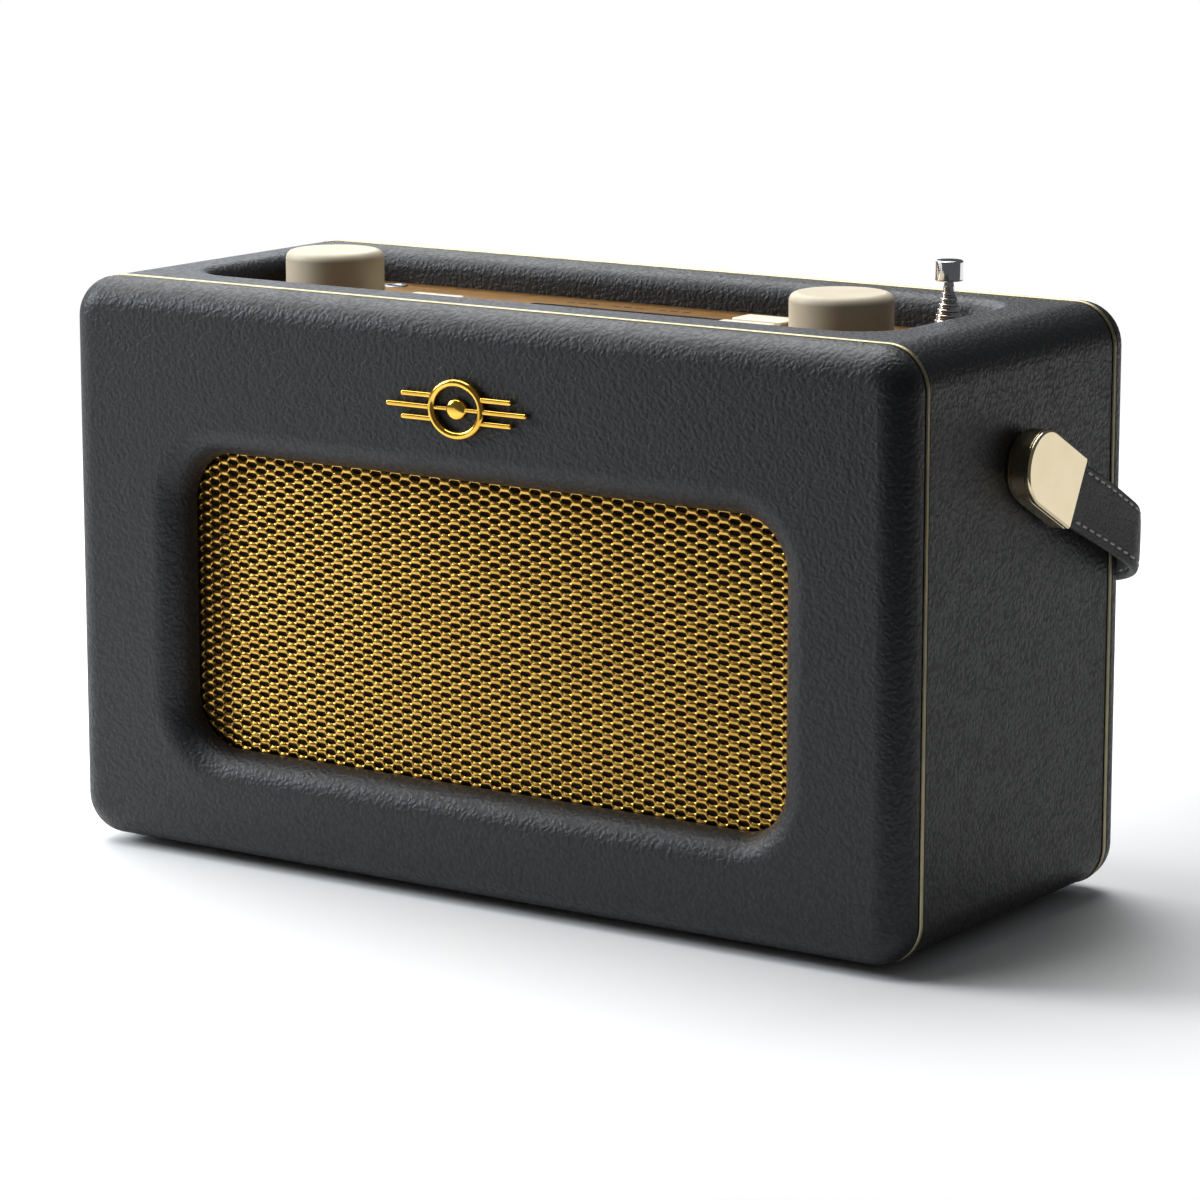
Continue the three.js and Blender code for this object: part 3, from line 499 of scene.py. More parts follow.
def sleeve_form():
    """The wrapped sleeve: a rounded rectangular tube whose top opens into the control well."""
    form = Form()
    arc, across = CASE_LOOP["arc"], CASE_LOOP["across"]
    top = range(arc, arc + across)
    stations = 14
    y0, y1 = sleeve_lo.y + SEAM_ROUND, sleeve_hi.y - SEAM_ROUND
    spread = [y0 + (y1 - y0) * i / stations for i in range(stations + 1)]

    def shell(width, height, mid_z, corner, roll):
        def ring(inset, y):
            return form.ring(case_ring(inset, y, width, height, mid_z, corner))

        bends = [(0, 0)]
        if roll:
            bends = [(SEAM_ROUND * (1 - s), SEAM_ROUND * (1 - c)) for s, c in quarter(4)[:-1]]
        front = [ring(inset, sleeve_lo.y + back) for inset, back in bends]
        body = [ring(0, y) for y in spread]
        rear = [ring(inset, sleeve_hi.y - back) for inset, back in bends[::-1]]
        for a, b in zip([*front, body[0]], [*front[1:], body[0]]):
            form.bridge(a, b)
        for a, b in zip(body, body[1:]):
            form.bridge(a, b, skip=top)
        for a, b in zip([body[-1], *rear], rear):
            form.bridge(a, b)
        edge = body[0][arc : arc + across + 1]
        edge += [r[arc + across] for r in body[1:-1]]
        edge += body[-1][arc : arc + across + 1][::-1]
        edge += [r[arc] for r in body[-2:0:-1]]
        return front[0], rear[-1], edge

    outer = shell(case_width, case_height, case_mid_z, CASE_CORNER, True)
    inner_low, inner_high = sleeve_lo.z + WALL["bottom"], sleeve_hi.z - WALL["top"]
    inner_width = case_width - 2 * WALL["side"]
    inner = shell(inner_width, inner_high - inner_low, (inner_low + inner_high) / 2, 4.0, False)
    form.bridge(outer[0], inner[0])
    form.bridge(outer[1], inner[1])
    rings = []
    for s, c in quarter(6):
        rings.append(form.ring(well_ring(WELL_ROUND * (1 - s), sleeve_hi.z - WELL_ROUND * (1 - c))))
    for z in (sleeve_hi.z - 6, sleeve_hi.z - 8, inner_high):
        rings.append(form.ring(well_ring(0, z)))
    form.bridge(outer[2], rings[0])
    for a, b in zip(rings, rings[1:]):
        form.bridge(a, b)
    form.bridge(rings[-1], inner[2])
    return form


def front_form():
    """The front frame: a soft outer edge, a flat face and a lip rolled in to the grille."""
    opening_width, opening_height, opening_corner = 182.0, 78.0, 13.5
    opening_mid_z = middle("speaker_grille").z
    back = front_hi.y
    turn_y = front_lo.y + FRONT_ROUND
    form = Form()
    rings = []
    for s, c in quarter(3):
        rings.append(case_ring(SEAM_ROUND * (1 - s), back - SEAM_ROUND * (1 - c)))
    for s, c in quarter(12):
        rings.append(case_ring(FRONT_ROUND * (1 - c), turn_y - FRONT_ROUND * s))

    def opening(outset, y):
        return case_ring(-outset, y, opening_width, opening_height, opening_mid_z, opening_corner)

    for s, c in quarter(12):
        rings.append(opening(FRONT_ROUND * (1 - s), front_lo.y + FRONT_ROUND * (1 - c)))
    rings.append(opening(0, back))
    form.loft(rings, wrap=True)
    return form


def box_form(x0, x1, y0, y1, z0, z1):
    form = Form()
    form.loft([[(x0, y, z0), (x1, y, z0), (x1, y, z1), (x0, y, z1)] for y in (y0, y1)])
    return form


def plate_form(width, height, corner, centre, y0, y1, arc=4, edge=0.0):
    """A rounded upright plate from y0 to y1, with its y1 edge rounded over."""
    form = Form()
    rings = []
    loop = {"arc": arc, "across": 4, "up": 4}
    side = 1 if y1 > y0 else -1
    rings.append([(x, y0, z) for x, z in rounded_loop(width, height, corner, centre, **loop)])
    steps = quarter(4) if edge else [(1, 1)]
    for s, c in steps:
        inset = edge * (1 - c)
        ring = rounded_loop(width - 2 * inset, height - 2 * inset, max(corner - inset, 0.05), centre, **loop)
        y = y1 - side * edge * (1 - s)
        rings.append([(x, y, z) for x, z in ring])
    form.loft(rings)
    return form


DOOR_OPENING = (150, 62)
DOOR_SILL = 10
SOCKET_OPENING = (46.6, 20.6)


def rear_mesh():
    """The rear panel, with openings for the battery door, the sockets and the screws."""
    panel_front = corners("rear_piping")[1].y + 0.3
    rings = []
    for s, c in quarter(3):
        rings.append(case_ring(SEAM_ROUND * (1 - s), panel_front + SEAM_ROUND * (1 - c)))
    for s, c in quarter(10):
        rings.append(case_ring(REAR_ROUND * (1 - c), rear_hi.y - REAR_ROUND + REAR_ROUND * s))
    form = Form()
    form.loft(rings)
    far, near = rear_hi.y - 20, rear_hi.y + 2
    door_mid_z = sleeve_lo.z + DOOR_SILL + DOOR_OPENING[1] / 2
    cutters = [plate_form(*DOOR_OPENING, 1.2, (0, door_mid_z), far, near)]
    plate = middle("socket_plate")
    cutters.append(plate_form(*SOCKET_OPENING, 2.3, (plate.x, plate.z), far, near))
    for i in range(4):
        screw = middle(f"rear_screw_{i + 1}")
        hole = Form()
        hole.turn([(0, -4), (3.1, -4), (3.1, 4), (0, 4)], (screw.x, rear_hi.y + 1.8, screw.z), "y", 32)
        cutters.append(hole)
    return cut("rear_leather", form, cutters)


piece("sleeve_leather", sleeve_form(), leathercloth, "cabinet", ["case_sleeve"])
piece("front_leather", front_form(), leathercloth, "cabinet", ["front_frame"])
piece("rear_leather", rear_mesh(), leathercloth, "cabinet", ["rear_panel"])


def bead_form(node):
    """Piping along the case outline: a round bead with a thinner one lying behind it."""
    lo, hi = corners(node)
    proud = 0.3
    form = Form()
    for radius, y in ((0.42, lo.y + 0.44), (0.26, hi.y - 0.26)):
        line = rounded_loop(
            hi.x - lo.x - 2 * radius,
            hi.z - lo.z - 2 * radius,
            CASE_CORNER + proud - radius,
            (0, (lo.z + hi.z) / 2),
            arc=16,
            across=12,
            up=8,
        )
        rings = []
        for i, (x, z) in enumerate(line):
            ahead, behind = Vector(line[(i + 1) % len(line)]), Vector(line[i - 1])
            along = (ahead - behind).normalized()
            ring = []
            for k in range(12):
                t = math.pi * k / 6
                out = radius * math.cos(t)
                ring.append((x + along.y * out, y + radius * math.sin(t), z - along.x * out))
            rings.append(ring)
        form.loft(rings, wrap=True)
    return form


piece("front_bead", bead_form("front_piping"), bead_gold, "cabinet", ["front_piping"], weighted=False)
piece("rear_bead", bead_form("rear_piping"), bead_gold, "cabinet", ["rear_piping"], weighted=False)


# ---------------------------------------------------------------- grille

MESH_PITCH_X = 6.12
MESH_PITCH_Z = 2.79
MESH_HOLE_HALF = (1.74, 0.7)


def grille_form():
    """Expanded metal: staggered lens-shaped holes in strands that bulge forward between them."""
    centre = middle("speaker_grille")
    lo = corners("speaker_grille")[0]
    half_x, half_z = MESH_PITCH_X / 2, MESH_PITCH_Z / 2
    wide = (half_x * half_x + half_z * half_z) / (2 * half_x)
    narrow = (half_x * half_x - half_z * half_z) / (2 * half_x)
    rim = [(wide, 0), ((wide + narrow) / 2, half_z / 2), (narrow, half_z), (0, half_z)]
    rim += [(-x, z) for x, z in rim[2::-1]]
    rim += [(-x, -z) for x, z in rim[1:-1]]
    hx, hz = MESH_HOLE_HALF
    hole = []
    for x, z in rim:
        t = math.atan2(z / hz, x / hx)
        lens = abs(math.sin(t)) ** 1.15
        hole.append((hx * math.cos(t), math.copysign(hz * lens, z) if abs(z) > 1e-9 else 0.0))
    reach_x, reach_z = 93.5, 41.5
    dip, bulge, sheet = 0.4, 0.34, 0.2
    front = lo.y + 0.03
    form = Form()
    rows = int(reach_z / half_z) + 1
    columns = int(reach_x / half_x) + 1
    for j in range(-rows, rows + 1):
        for i in range(-columns, columns + 1):
            if (i + j) % 2 or abs(i * half_x) > reach_x or abs(j * half_z) > reach_z:
                continue
            cx, cz = centre.x + i * half_x, centre.z + j * half_z

            def ring(share, y_of):
                made = []
                for (ox, oz), (ix, iz) in zip(rim, hole):
                    x, z = ix + (ox - ix) * share, iz + (oz - iz) * share
                    made.append((cx + x, y_of(x, z, share), cz + z))
                return form.ring(made)

            def face(x, z, share):
                """Crossings stand forward like knuckles; the strands between them dip and lean."""
                between = min(abs(x), half_x - abs(x)) / (half_x / 2)
                sink = dip * (1 - math.cos(math.pi * between)) / 2
                stand = math.sin(math.pi / 2 * share)
                lean = 0.13 * (1 - share) * (1 if z < 0 else -1)
                return front + sink + bulge * (1 - stand) + lean

            outer = ring(1.0, face)
            middle_ring = ring(0.45, face)
            edge = ring(0.0, face)
            back = ring(0.12, lambda x, z, share: front + dip + bulge + sheet)
            form.bridge(outer, middle_ring)
            form.bridge(middle_ring, edge)
            form.bridge(edge, back)
    return form


mesh = grille_form()
piece("grille_mesh", mesh, mesh_gold, "cabinet", ["speaker_grille"], 60, weighted=False)


# ---------------------------------------------------------------- badge


def bar_form(form, length, width, centre, back, front, round_edge=0.45):
    """A raised bar with round ends and a rounded face, standing out to -Y."""
    loop = {"arc": 6, "across": 6, "up": 1}
    radius = width / 2 - 0.01
    rings = [[(x, back, z) for x, z in rounded_loop(length, width, radius, centre, **loop)]]
    for s, c in quarter(4):
        inset = round_edge * (1 - c)
        ring = rounded_loop(length - 2 * inset, width - 2 * inset, radius - inset, centre, **loop)
        rings.append([(x, front + round_edge * (1 - s), z) for x, z in ring])
    form.loft(rings)


def badge_form():
    lo, hi = corners("badge")
    mid = (lo + hi) / 2
    back, front = hi.y, lo.y
    form = Form()
    segments = 56
    section = [(0.0, back), (0.0, front + 0.8)]
    section += [(0.95 - 0.95 * c, front + 0.8 - 0.8 * s) for s, c in quarter(4)[1:]]
    section += [(1.9 - x, y) for x, y in section[::-1]]
    rings = []
    for k in range(segments):
        t = 2 * math.pi * k / segments
        ring = []
        for across, y in section:
            ring.append((mid.x + (6.6 + across) * math.cos(t), y, mid.z + (5.6 + across) * math.sin(t)))
        rings.append(ring)
    form.loft(rings, wrap=True)
    dot = [(3.0, 0), (3.0, -1.0), (2.6, -1.5), (1.6, -1.8), (0, -1.85)]
    form.turn(dot, (mid.x, back, mid.z), "y", 32, 0.88)
    bar_form(form, 13.8, 1.0, (mid.x, mid.z), back, front + 0.5, 0.35)
    for side in (-1, 1):
        for row in (-1, 0, 1):
            length = 14.0 if row == 0 else 9.5
            where = (mid.x + side * (7.2 + length / 2), mid.z + row * 2.9)
            bar_form(form, length, 1.3, where, back, front + 0.3)
    return form


piece("badge_gold", badge_form(), badge_gold, "cabinet", ["badge"])


# ---------------------------------------------------------------- controls


def pad_form(width, depth, corner, centre, z0, z1, edge, crown=0.0, arc=6):
    """A flat-lying plate from z0 up to z1 with a rounded top edge and a slight crown."""
    loop = {"arc": arc, "across": 6, "up": 4}
    rings = [[(x, y, z0) for x, y in rounded_loop(width, depth, corner, centre, **loop)]]
    for s, c in quarter(4):
        inset = edge * (1 - c)
        ring = rounded_loop(width - 2 * inset, depth - 2 * inset, max(corner - inset, 0.05), centre, **loop)
        rings.append([(x, y, z1 - crown - edge * (1 - s)) for x, y in ring])
    for share in (0.66, 0.33):
        ring = rounded_loop(width * share, depth * share, corner * share, centre, **loop)
        rings.append([(x, y, z1 - crown * share * share) for x, y in ring])
    form = Form()
    form.loft(rings)
    return form


def knob_form(node):
    """A knob with a soft top edge, a slight dish on top and a bevel below."""
    lo, hi = corners(node)
    radius, height, fillet = (hi.x - lo.x) / 2, hi.z - lo.z, 2.2
    profile = [(0, 1.0), (radius - 1.4, 1.0), (radius - 0.8, 0.0), (radius - 0.35, 0.0), (radius, 0.4)]
    for s, c in quarter(10):
        profile.append((radius - fillet + fillet * c, height - fillet + fillet * s))
    profile += [(radius - 3.6, height - 0.05), (radius - 6.5, height - 0.16), (0, height - 0.22)]
    form = Form()
    form.turn(profile, base_of(node), "z", 96)
    return form


for side in ("volume", "tuning"):
    knob = f"{side}_knob"
    piece(f"{knob}_cream", knob_form(knob), cream, f"{side}_control", [knob])

KEYS = ("power", "source", "info", "menu", "preset")
for key in KEYS:
    lo, hi = corners(f"{key}_button")
    centre = ((lo.x + hi.x) / 2, (lo.y + hi.y) / 2)
    cap = pad_form(16, 9, 1.4, centre, lo.z, hi.z, 0.55, 0.12)
    piece(f"{key}_key_ivory", cap, ivory, f"{key}_key", [f"{key}_button"])

window_lo, window_hi = corners("display_window")
window = window_hi - window_lo
window_mid = (window_lo + window_hi) / 2
pane = pad_form(window.x, window.y, 1.2, (window_mid.x, window_mid.y), window_lo.z, window_hi.z, 0.3)
piece("display_pane", pane, glass, "cabinet", ["display_window"])


def marks_form():
    """Printed marks on the control plate: ticks round each knob and a row of dashes behind the display."""
    plate_top = corners("control_plate")[1].z
    low, high = plate_top + 0.01, plate_top + 0.06
    tick_start = 14.5
    form = Form()

    def dash(x, y, length, width, turn):
        c, s = math.cos(turn), math.sin(turn)
        a, b = length / 2, width / 2
        base = [(-a, -b), (a, -b), (a, b), (-a, b)]
        form.loft([[(x + u * c - v * s, y + u * s + v * c, z) for u, v in base] for z in (low, high)])

    for side in ("volume", "tuning"):
        knob = middle(f"{side}_knob")
        for i in range(11):
            turn = math.radians(-60 + 30 * i)
            reach = 15.3 if i % 5 else 15.7
            x, y = knob.x + reach * math.cos(turn), knob.y + reach * math.sin(turn)
            dash(x, y, 2 * (reach - tick_start), 0.5, turn)
    for i in range(12):
        if i % 4 != 3:
            dash(window_mid.x - 23 + 3.6 * i, window_hi.y + 6.5, 2.3, 1.0 if i % 2 else 0.7, 0)
    for key in KEYS:
        spot = middle(f"{key}_button")
        away = -1 if spot.x < 0 else 1
        dash(spot.x + away * 10.2, spot.y, 1.6, 0.6, 0)
    return form


ink = plastic("printed_marks", rgb(44, 28, 14), rgb(30, 19, 9), rough=0.6, grain=0.4)
piece("plate_marks", marks_form(), ink, "cabinet", weighted=False)


def aux_form():
    """The auxiliary socket: a ring round a blind bore."""
    lo, hi = corners("aux_socket")
    outer, bore, top = (hi.x - lo.x) / 2, 1.8, hi.z - lo.z
    profile = [(0, 0), (outer, 0), (outer, top - 0.2), (outer - 0.2, top)]
    profile += [(bore + 0.3, top), (bore, top - 0.3), (bore, 1.5), (0, 1.5)]
    form = Form()
    form.turn(profile, base_of("aux_socket"), "z", 48)
    return form


piece("aux_ring", aux_form(), steel, "cabinet", ["aux_socket"])


# ---------------------------------------------------------------- aerial


TIP_NECK_LOW = 155.1
TIP_NECK_HIGH = 156.6


def aerial_form(number):
    """An aerial section with a rolled lip, or for the last one its rod and tip."""
    node = f"aerial_section_{number}"
    lo, hi = corners(node)
    height = hi.z - lo.z
    form = Form()
    if number < 7:
        outer = (hi.x - lo.x) / 2
        inner = outer - 0.27
        profile = [(inner, 0), (outer, 0)]
        for inset, below in ((0, 1.0), (0.09, 0.85), (0, 0.7), (0, 0.3), (0.1, 0.1), (0.2, 0)):
            profile.append((outer - inset, height - below))
        profile += [(inner, height), (inner, 0)]
        form.turn(profile, base_of(node), "z", 40)
        return form
    rod, neck = 1.4, 1.2
    neck_low, neck_top = TIP_NECK_LOW - lo.z, TIP_NECK_HIGH - lo.z
    profile = [(0, 0), (rod, 0), (rod, neck_low), (neck, neck_low + 0.5), (neck, neck_top)]
    profile += [(3.2, neck_top), (3.45, neck_top + 0.15), (3.5, neck_top + 0.4), (3.5, height - 0.5)]
    profile += [(3.4, height - 0.18), (3.1, height - 0.02), (0, height)]
    form.turn(profile, base_of(node), "z", 56)
    return form


for number in range(1, 8):
    body = "cabinet" if number == 1 else f"aerial_stage_{number}"
    tube = aerial_form(number)
    piece(f"aerial_tube_{number}", tube, chrome, body, [f"aerial_section_{number}"], sharp=50)


def ferrule_form():
    """The collar round the aerial: a sleeve through the plate under a rounded flange."""
    bore, sleeve, flange, seat, top = 3.8, 4.4, 5.4, 3.8, 5.0
    profile = [(bore, 0), (sleeve, 0), (sleeve, seat), (flange - 0.2, seat), (flange, seat + 0.2)]
    profile += [(flange, top - 0.7), (flange - 0.25, top - 0.25), (flange - 0.8, top)]
    profile += [(bore + 0.15, top), (bore, top - 0.15), (bore, 0)]
    form = Form()
    form.turn(profile, base_of("aerial_collar"), "z", 48)
    return form


piece("aerial_ferrule", ferrule_form(), chrome, "cabinet", ["aerial_collar"])


# ---------------------------------------------------------------- carrying handle

DROOP = math.radians(28)
CAP_RADIUS = 9.35
CAP_LENGTH = 18.0
STRAP_WIDTH = 16.5
STRAP_THICKNESS = 3.0
STRAP_BEND_X = 30.0
STRAP_BEND_Y = 22.0
STRAP_REACH = 73.5
STRAP_LIFT = 2.2
STRAP_LIFT_REACH = 22.0
STRAP_TWIST = math.radians(14)
STUD_ROOT_X = 118.0
STITCH_ROW = 6.35
stud_mid = middle("handle_stud_right")
strap_outer_x = corners("handle_strap")[1].x
cap_lo, cap_hi = corners("handle_cap_right")


def handle_point(x, along, across):
    """From the handle's own directions: along its arms, and across the strap's width."""
    return (
        x,
        stud_mid.y + along * math.cos(DROOP) + across * math.sin(DROOP),
        stud_mid.z - along * math.sin(DROOP) + across * math.cos(DROOP),
    )


def d_loop(inset, arc=24, corner=1.0):
    """The end cap's outline: round at the stud, square where the strap goes in."""
    radius = CAP_RADIUS - inset
    far = CAP_LENGTH - inset
    bend = max(corner - inset, 0.15)
    points = []
    for i in range(arc + 1):
        t = math.pi / 2 + math.pi * i / arc
        points.append((radius * math.cos(t), radius * math.sin(t)))
    for i in range(1, 6):
        points.append(((far - bend) * i / 6, -radius))
    for hub, start in ((-1, -90), (1, 0)):
        for i in range(5):
            t = math.radians(start + 90 * i / 4)
            points.append((far - bend + bend * math.cos(t), hub * (radius - bend) + bend * math.sin(t)))
    for i in range(5, 0, -1):
        points.append(((far - bend) * i / 6, radius))
    return points


def cap_form(side):
    """An end cap of the handle, with a fine groove round it below its outer face."""
    inner_x, outer_x = cap_lo.x, cap_hi.x
    steps = [(0.9, 0.0), (0.35, 0.1), (0.0, 0.5)]
    steps += [(0.0, 4.25), (0.22, 4.35), (0.22, 4.6), (0.0, 4.7), (0.0, 5.05)]
    steps += [(0.65 * (1 - c), 5.05 + 0.65 * s) for s, c in quarter(5)[1:]]
    form = Form()
    rings = []
    for inset, out in steps:
        x = side * (inner_x + out * (outer_x - inner_x) / 5.7)
        rings.append([handle_point(x, along, across) for along, across in d_loop(inset)])
    form.loft(rings)
    return form


def stud_form(side):
    """A handle stud: a shank in the case wall, a round boss on it and a pivot in the end cap."""
    shank, boss, pivot = 3, 8.4, 2.5
    seat, face, end = 8.2, 9.1, 11
    profile = [(0, 0), (shank, 0), (shank, seat), (boss - 0.3, seat), (boss, seat + 0.2), (boss, face - 0.2)]
    profile += [(boss - 0.3, face), (pivot, face), (pivot, end), (0, end)]
    lathe = [(radius, side * (STUD_ROOT_X + along)) for radius, along in profile]
    form = Form()
    form.turn(lathe, (0, stud_mid.y, stud_mid.z), "x", 48)
    return form


for side, word in ((-1, "left"), (1, "right")):
    piece(f"cap_{word}_gold", cap_form(side), gold, "handle", [f"handle_cap_{word}"], sharp=30)
    piece(f"boss_{word}_gold", stud_form(side), gold, "cabinet", [f"handle_stud_{word}"], sharp=30)


def strap_path(samples=26):
    """Points and outward normals along the middle of the strap's thickness, from right cap to left cap."""
    half = STRAP_THICKNESS / 2
    outer_x, hub_x = strap_outer_x, strap_outer_x - STRAP_BEND_X
    hub_y = STRAP_REACH - STRAP_BEND_Y
    start = CAP_LENGTH - 2.0
    outer = [((outer_x, start + (hub_y - start) * i / 16), (1, 0)) for i in range(16)]
    for i in range(samples + 1):
        t = math.pi / 2 * i / samples
        point = (hub_x + STRAP_BEND_X * math.cos(t), hub_y + STRAP_BEND_Y * math.sin(t))
        normal = Vector((math.cos(t) / STRAP_BEND_X, math.sin(t) / STRAP_BEND_Y)).normalized()
        outer.append((point, tuple(normal)))
    for i in range(1, 24):
        outer.append(((hub_x * (1 - i / 24), STRAP_REACH), (0, 1)))
    mirrored = [((-x, y), (-nx, ny)) for (x, y), (nx, ny) in outer[::-1]]
    path = outer + [((0.0, STRAP_REACH), (0, 1))] + mirrored
    return [((x - nx * half, y - ny * half), (nx, ny)) for (x, y), (nx, ny) in path]


def strap_point(spot, normal, across, out):
    """A point of the strap, which sags less than its caps and turns more upright behind the case."""
    beyond = max(spot[1] - CAP_LENGTH, 0.0)
    lift = STRAP_LIFT * (1 - math.exp(-beyond / STRAP_LIFT_REACH))
    share = min(beyond / (STRAP_REACH - CAP_LENGTH - STRAP_THICKNESS / 2), 1.0)
    twist = -STRAP_TWIST * share * share * (3 - 2 * share)
    c, s = math.cos(twist), math.sin(twist)
    away = across * s + out * c
    return handle_point(spot[0] + normal[0] * away, spot[1] + normal[1] * away, across * c - out * s + lift)


def strap_section():
    """Half-thickness profile across the strap: (across, out), domed faces and rounded edges."""
    half_w, half_t = STRAP_WIDTH / 2, STRAP_THICKNESS / 2
    edge = 1.1
    upper = []
    for i in range(6):
        t = math.pi / 2 * i / 5
        upper.append((half_w - edge + edge * math.cos(t), half_t - 0.35 - edge + edge * math.sin(t)))
    for across, out in ((6.65, -0.30), (6.35, -0.38), (6.05, -0.24), (4.9, -0.07), (2.5, -0.01), (0, 0)):
        upper.append((across, half_t + out))
    top = upper + [(-a, o) for a, o in upper[-2::-1]]
    return top + [(a, -o) for a, o in top[::-1]]


def strap_form():
    form = Form()
    section = strap_section()
    rings = []
    for spot, normal in strap_path():
        rings.append([strap_point(spot, normal, across, out) for across, out in section])
    form.loft(rings)
    return form


def stitch_form():
    """Saddle stitches: short rounded threads in a row along both edges, on both faces."""
    path = strap_path()
    pitch, length, radius = 3.7, 2.5, 0.27
    form = Form()
    reach = [0.0]
    for (a, _), (b, _) in zip(path, path[1:]):
        reach.append(reach[-1] + (Vector(b) - Vector(a)).length)

    def at(distance):
        distance = min(max(distance, 0.0), reach[-1])
        k = max(i for i in range(len(reach)) if reach[i] <= distance or i == 0)
        k = min(k, len(path) - 2)
        share = (distance - reach[k]) / max(reach[k + 1] - reach[k], 1e-9)
        point = Vector(path[k][0]).lerp(Vector(path[k + 1][0]), share)
        normal = Vector(path[k][1]).lerp(Vector(path[k + 1][1]), share).normalized()
        return point, normal

    count = int((reach[-1] - 6) / pitch)
    margin = (reach[-1] - count * pitch) / 2
    for i in range(count):
        for across in (-STITCH_ROW, STITCH_ROW):
            for face in (-1, 1):
                rings = []
                for step in range(9):
                    share = step / 8
                    fat = math.sqrt(max(1 - (2 * share - 1) ** 4, 0.0)) * radius + 0.04
                    tilt = 0.12 * (share - 0.5) * face
                    point, normal = at(margin + pitch * i + (pitch - length) / 2 + length * share)
                    out = face * (STRAP_THICKNESS / 2 - 0.3)
                    ring = []
                    for k in range(8):
                        t = 2 * math.pi * k / 8
                        lift = out + fat * 0.8 * math.sin(t)
                        ring.append(strap_point(point, normal, across + tilt + fat * math.cos(t), lift))
                    rings.append(ring)
                form.loft(rings)
    return form


piece("strap_hide", strap_form(), strap_leather, "handle", ["handle_strap"], sharp=60)
piece("strap_stitching", stitch_form(), thread, "handle", sharp=80, weighted=False)


# ---------------------------------------------------------------- feet, rear fittings


def foot_form(number):
    """A rubber foot: a pad with a hollow tread and a plug up into the case."""
    plug, pad = 2.5, 1.7
    profile = [(0, 0.3), (4.8, 0.3), (5.2, 0), (6.0, 0), (6.35, 0.25), (6.9, 1.3), (6.9, 1.62), (6.7, pad)]
    profile += [(plug, pad), (plug, 7.0), (0, 7.0)]
    form = Form()
    form.turn(profile, base_of(f"foot_{number}"), "z", 48)
    return form


for number in range(1, 5):
    piece(f"foot_pad_{number}", foot_form(number), rubber, "cabinet", [f"foot_{number}"])


def screw_mesh(number):
    """A pan-head screw with a cross recess."""
    node = f"rear_screw_{number}"
    lo, hi = corners(node)
    mid = (lo + hi) / 2
    head = Form()
    head.turn(
        [(0, lo.y), (1.3, lo.y), (1.3, hi.y - 1.9), (2.75, hi.y - 1.9), (2.75, hi.y - 0.9), (2.5, hi.y - 0.5),
         (1.9, hi.y - 0.2), (1.0, hi.y - 0.05), (0, hi.y)],
        (mid.x, 0, mid.z),
        "y",
        40,
    )
    slots = [
        box_form(mid.x - 1.5, mid.x + 1.5, hi.y - 1.0, hi.y + 1, mid.z - 0.32, mid.z + 0.32),
        box_form(mid.x - 0.32, mid.x + 0.32, hi.y - 1.0, hi.y + 1, mid.z - 1.5, mid.z + 1.5),
    ]
    return cut(f"screw_cross_{number}", head, slots)


for number in range(1, 5):
    piece(f"screw_cross_{number}", screw_mesh(number), steel, "cabinet", [f"rear_screw_{number}"])


def door_mesh():
    """The battery door: a covered leaf with a finger scoop at its top edge and hinge pins below."""
    lo, hi = corners("battery_door")
    width, top, bottom = DOOR_OPENING[0] - 0.8, hi.z, lo.z
    centre = (0, (top + bottom) / 2)
    leaf = plate_form(width, top - bottom, 0.9, centre, lo.y, hi.y, edge=0.7)
    scoop = Form()
    half = [(4.6, 7.5), (3.4, 10.6), (0, 12)]
    hollow = [(radius, -x) for radius, x in half[::-1]] + [(5.0, 0)] + half
    scoop.turn(hollow, (0, hi.y + 2.6, top - 5.6), "x", 32)
    mesh = cut("battery_door_leaf", leaf, [scoop])
    pins = Form()
    pin = (0, hi.y - 1.3, bottom + 1.3)
    pins.turn([(0, -76.6), (0.8, -76.6), (1.0, -76.4), (1.0, 76.4), (0.8, 76.6), (0, 76.6)], pin, "x", 20)
    return mesh, pins


door_leaf, door_pins = door_mesh()
piece("battery_door_leaf", door_leaf, leathercloth, "door", ["battery_door"])
piece("battery_door_pins", door_pins, steel, "door")


def socket_bezel_mesh():
    lo, hi = corners("socket_plate")
    mid = (lo + hi) / 2
    plate = plate_form(hi.x - lo.x, hi.z - lo.z, 2.0, (mid.x, mid.z), lo.y, hi.y, arc=8, edge=0.5)
    holes = []
    for node in ("power_inlet", "headphone_socket"):
        place = middle(node)
        hole = Form()
        hole.turn([(0, -6), (4.3, -6), (4.3, 6), (0, 6)], (place.x, mid.y, place.z), "y", 48)
        holes.append(hole)
    return cut("socket_bezel", plate, holes)


piece("socket_bezel", socket_bezel_mesh(), black, "cabinet", ["socket_plate"])


def socket_form(node, bore, pin):
    """A round socket with a blind bore and, if it has one, a centre pin."""
    lo, hi = corners(node)
    centre = (middle(node).x, 0, middle(node).z)
    y0, y1 = lo.y, hi.y
    floor_y = y1 - 9
    profile = [(0, y0), (4.0, y0), (4.0, y1 - 0.25), (3.75, y1)]
    profile += [(bore + 0.35, y1), (bore, y1 - 0.35), (bore, floor_y), (0, floor_y)]
    form = Form()
    form.turn(profile, centre, "y", 48)
    if pin:
        tip = y1 - 1.0
        form.turn([(pin, floor_y - 0.5), (pin, tip - 0.3), (pin - 0.3, tip), (0, tip)], centre, "y", 24)
    return form


inlet = socket_form("power_inlet", 2.75, 0.9)
piece("inlet_shell", inlet, black, "cabinet", ["power_inlet"])
phones = socket_form("headphone_socket", 1.8, 0)
piece("phones_shell", phones, steel, "cabinet", ["headphone_socket"])


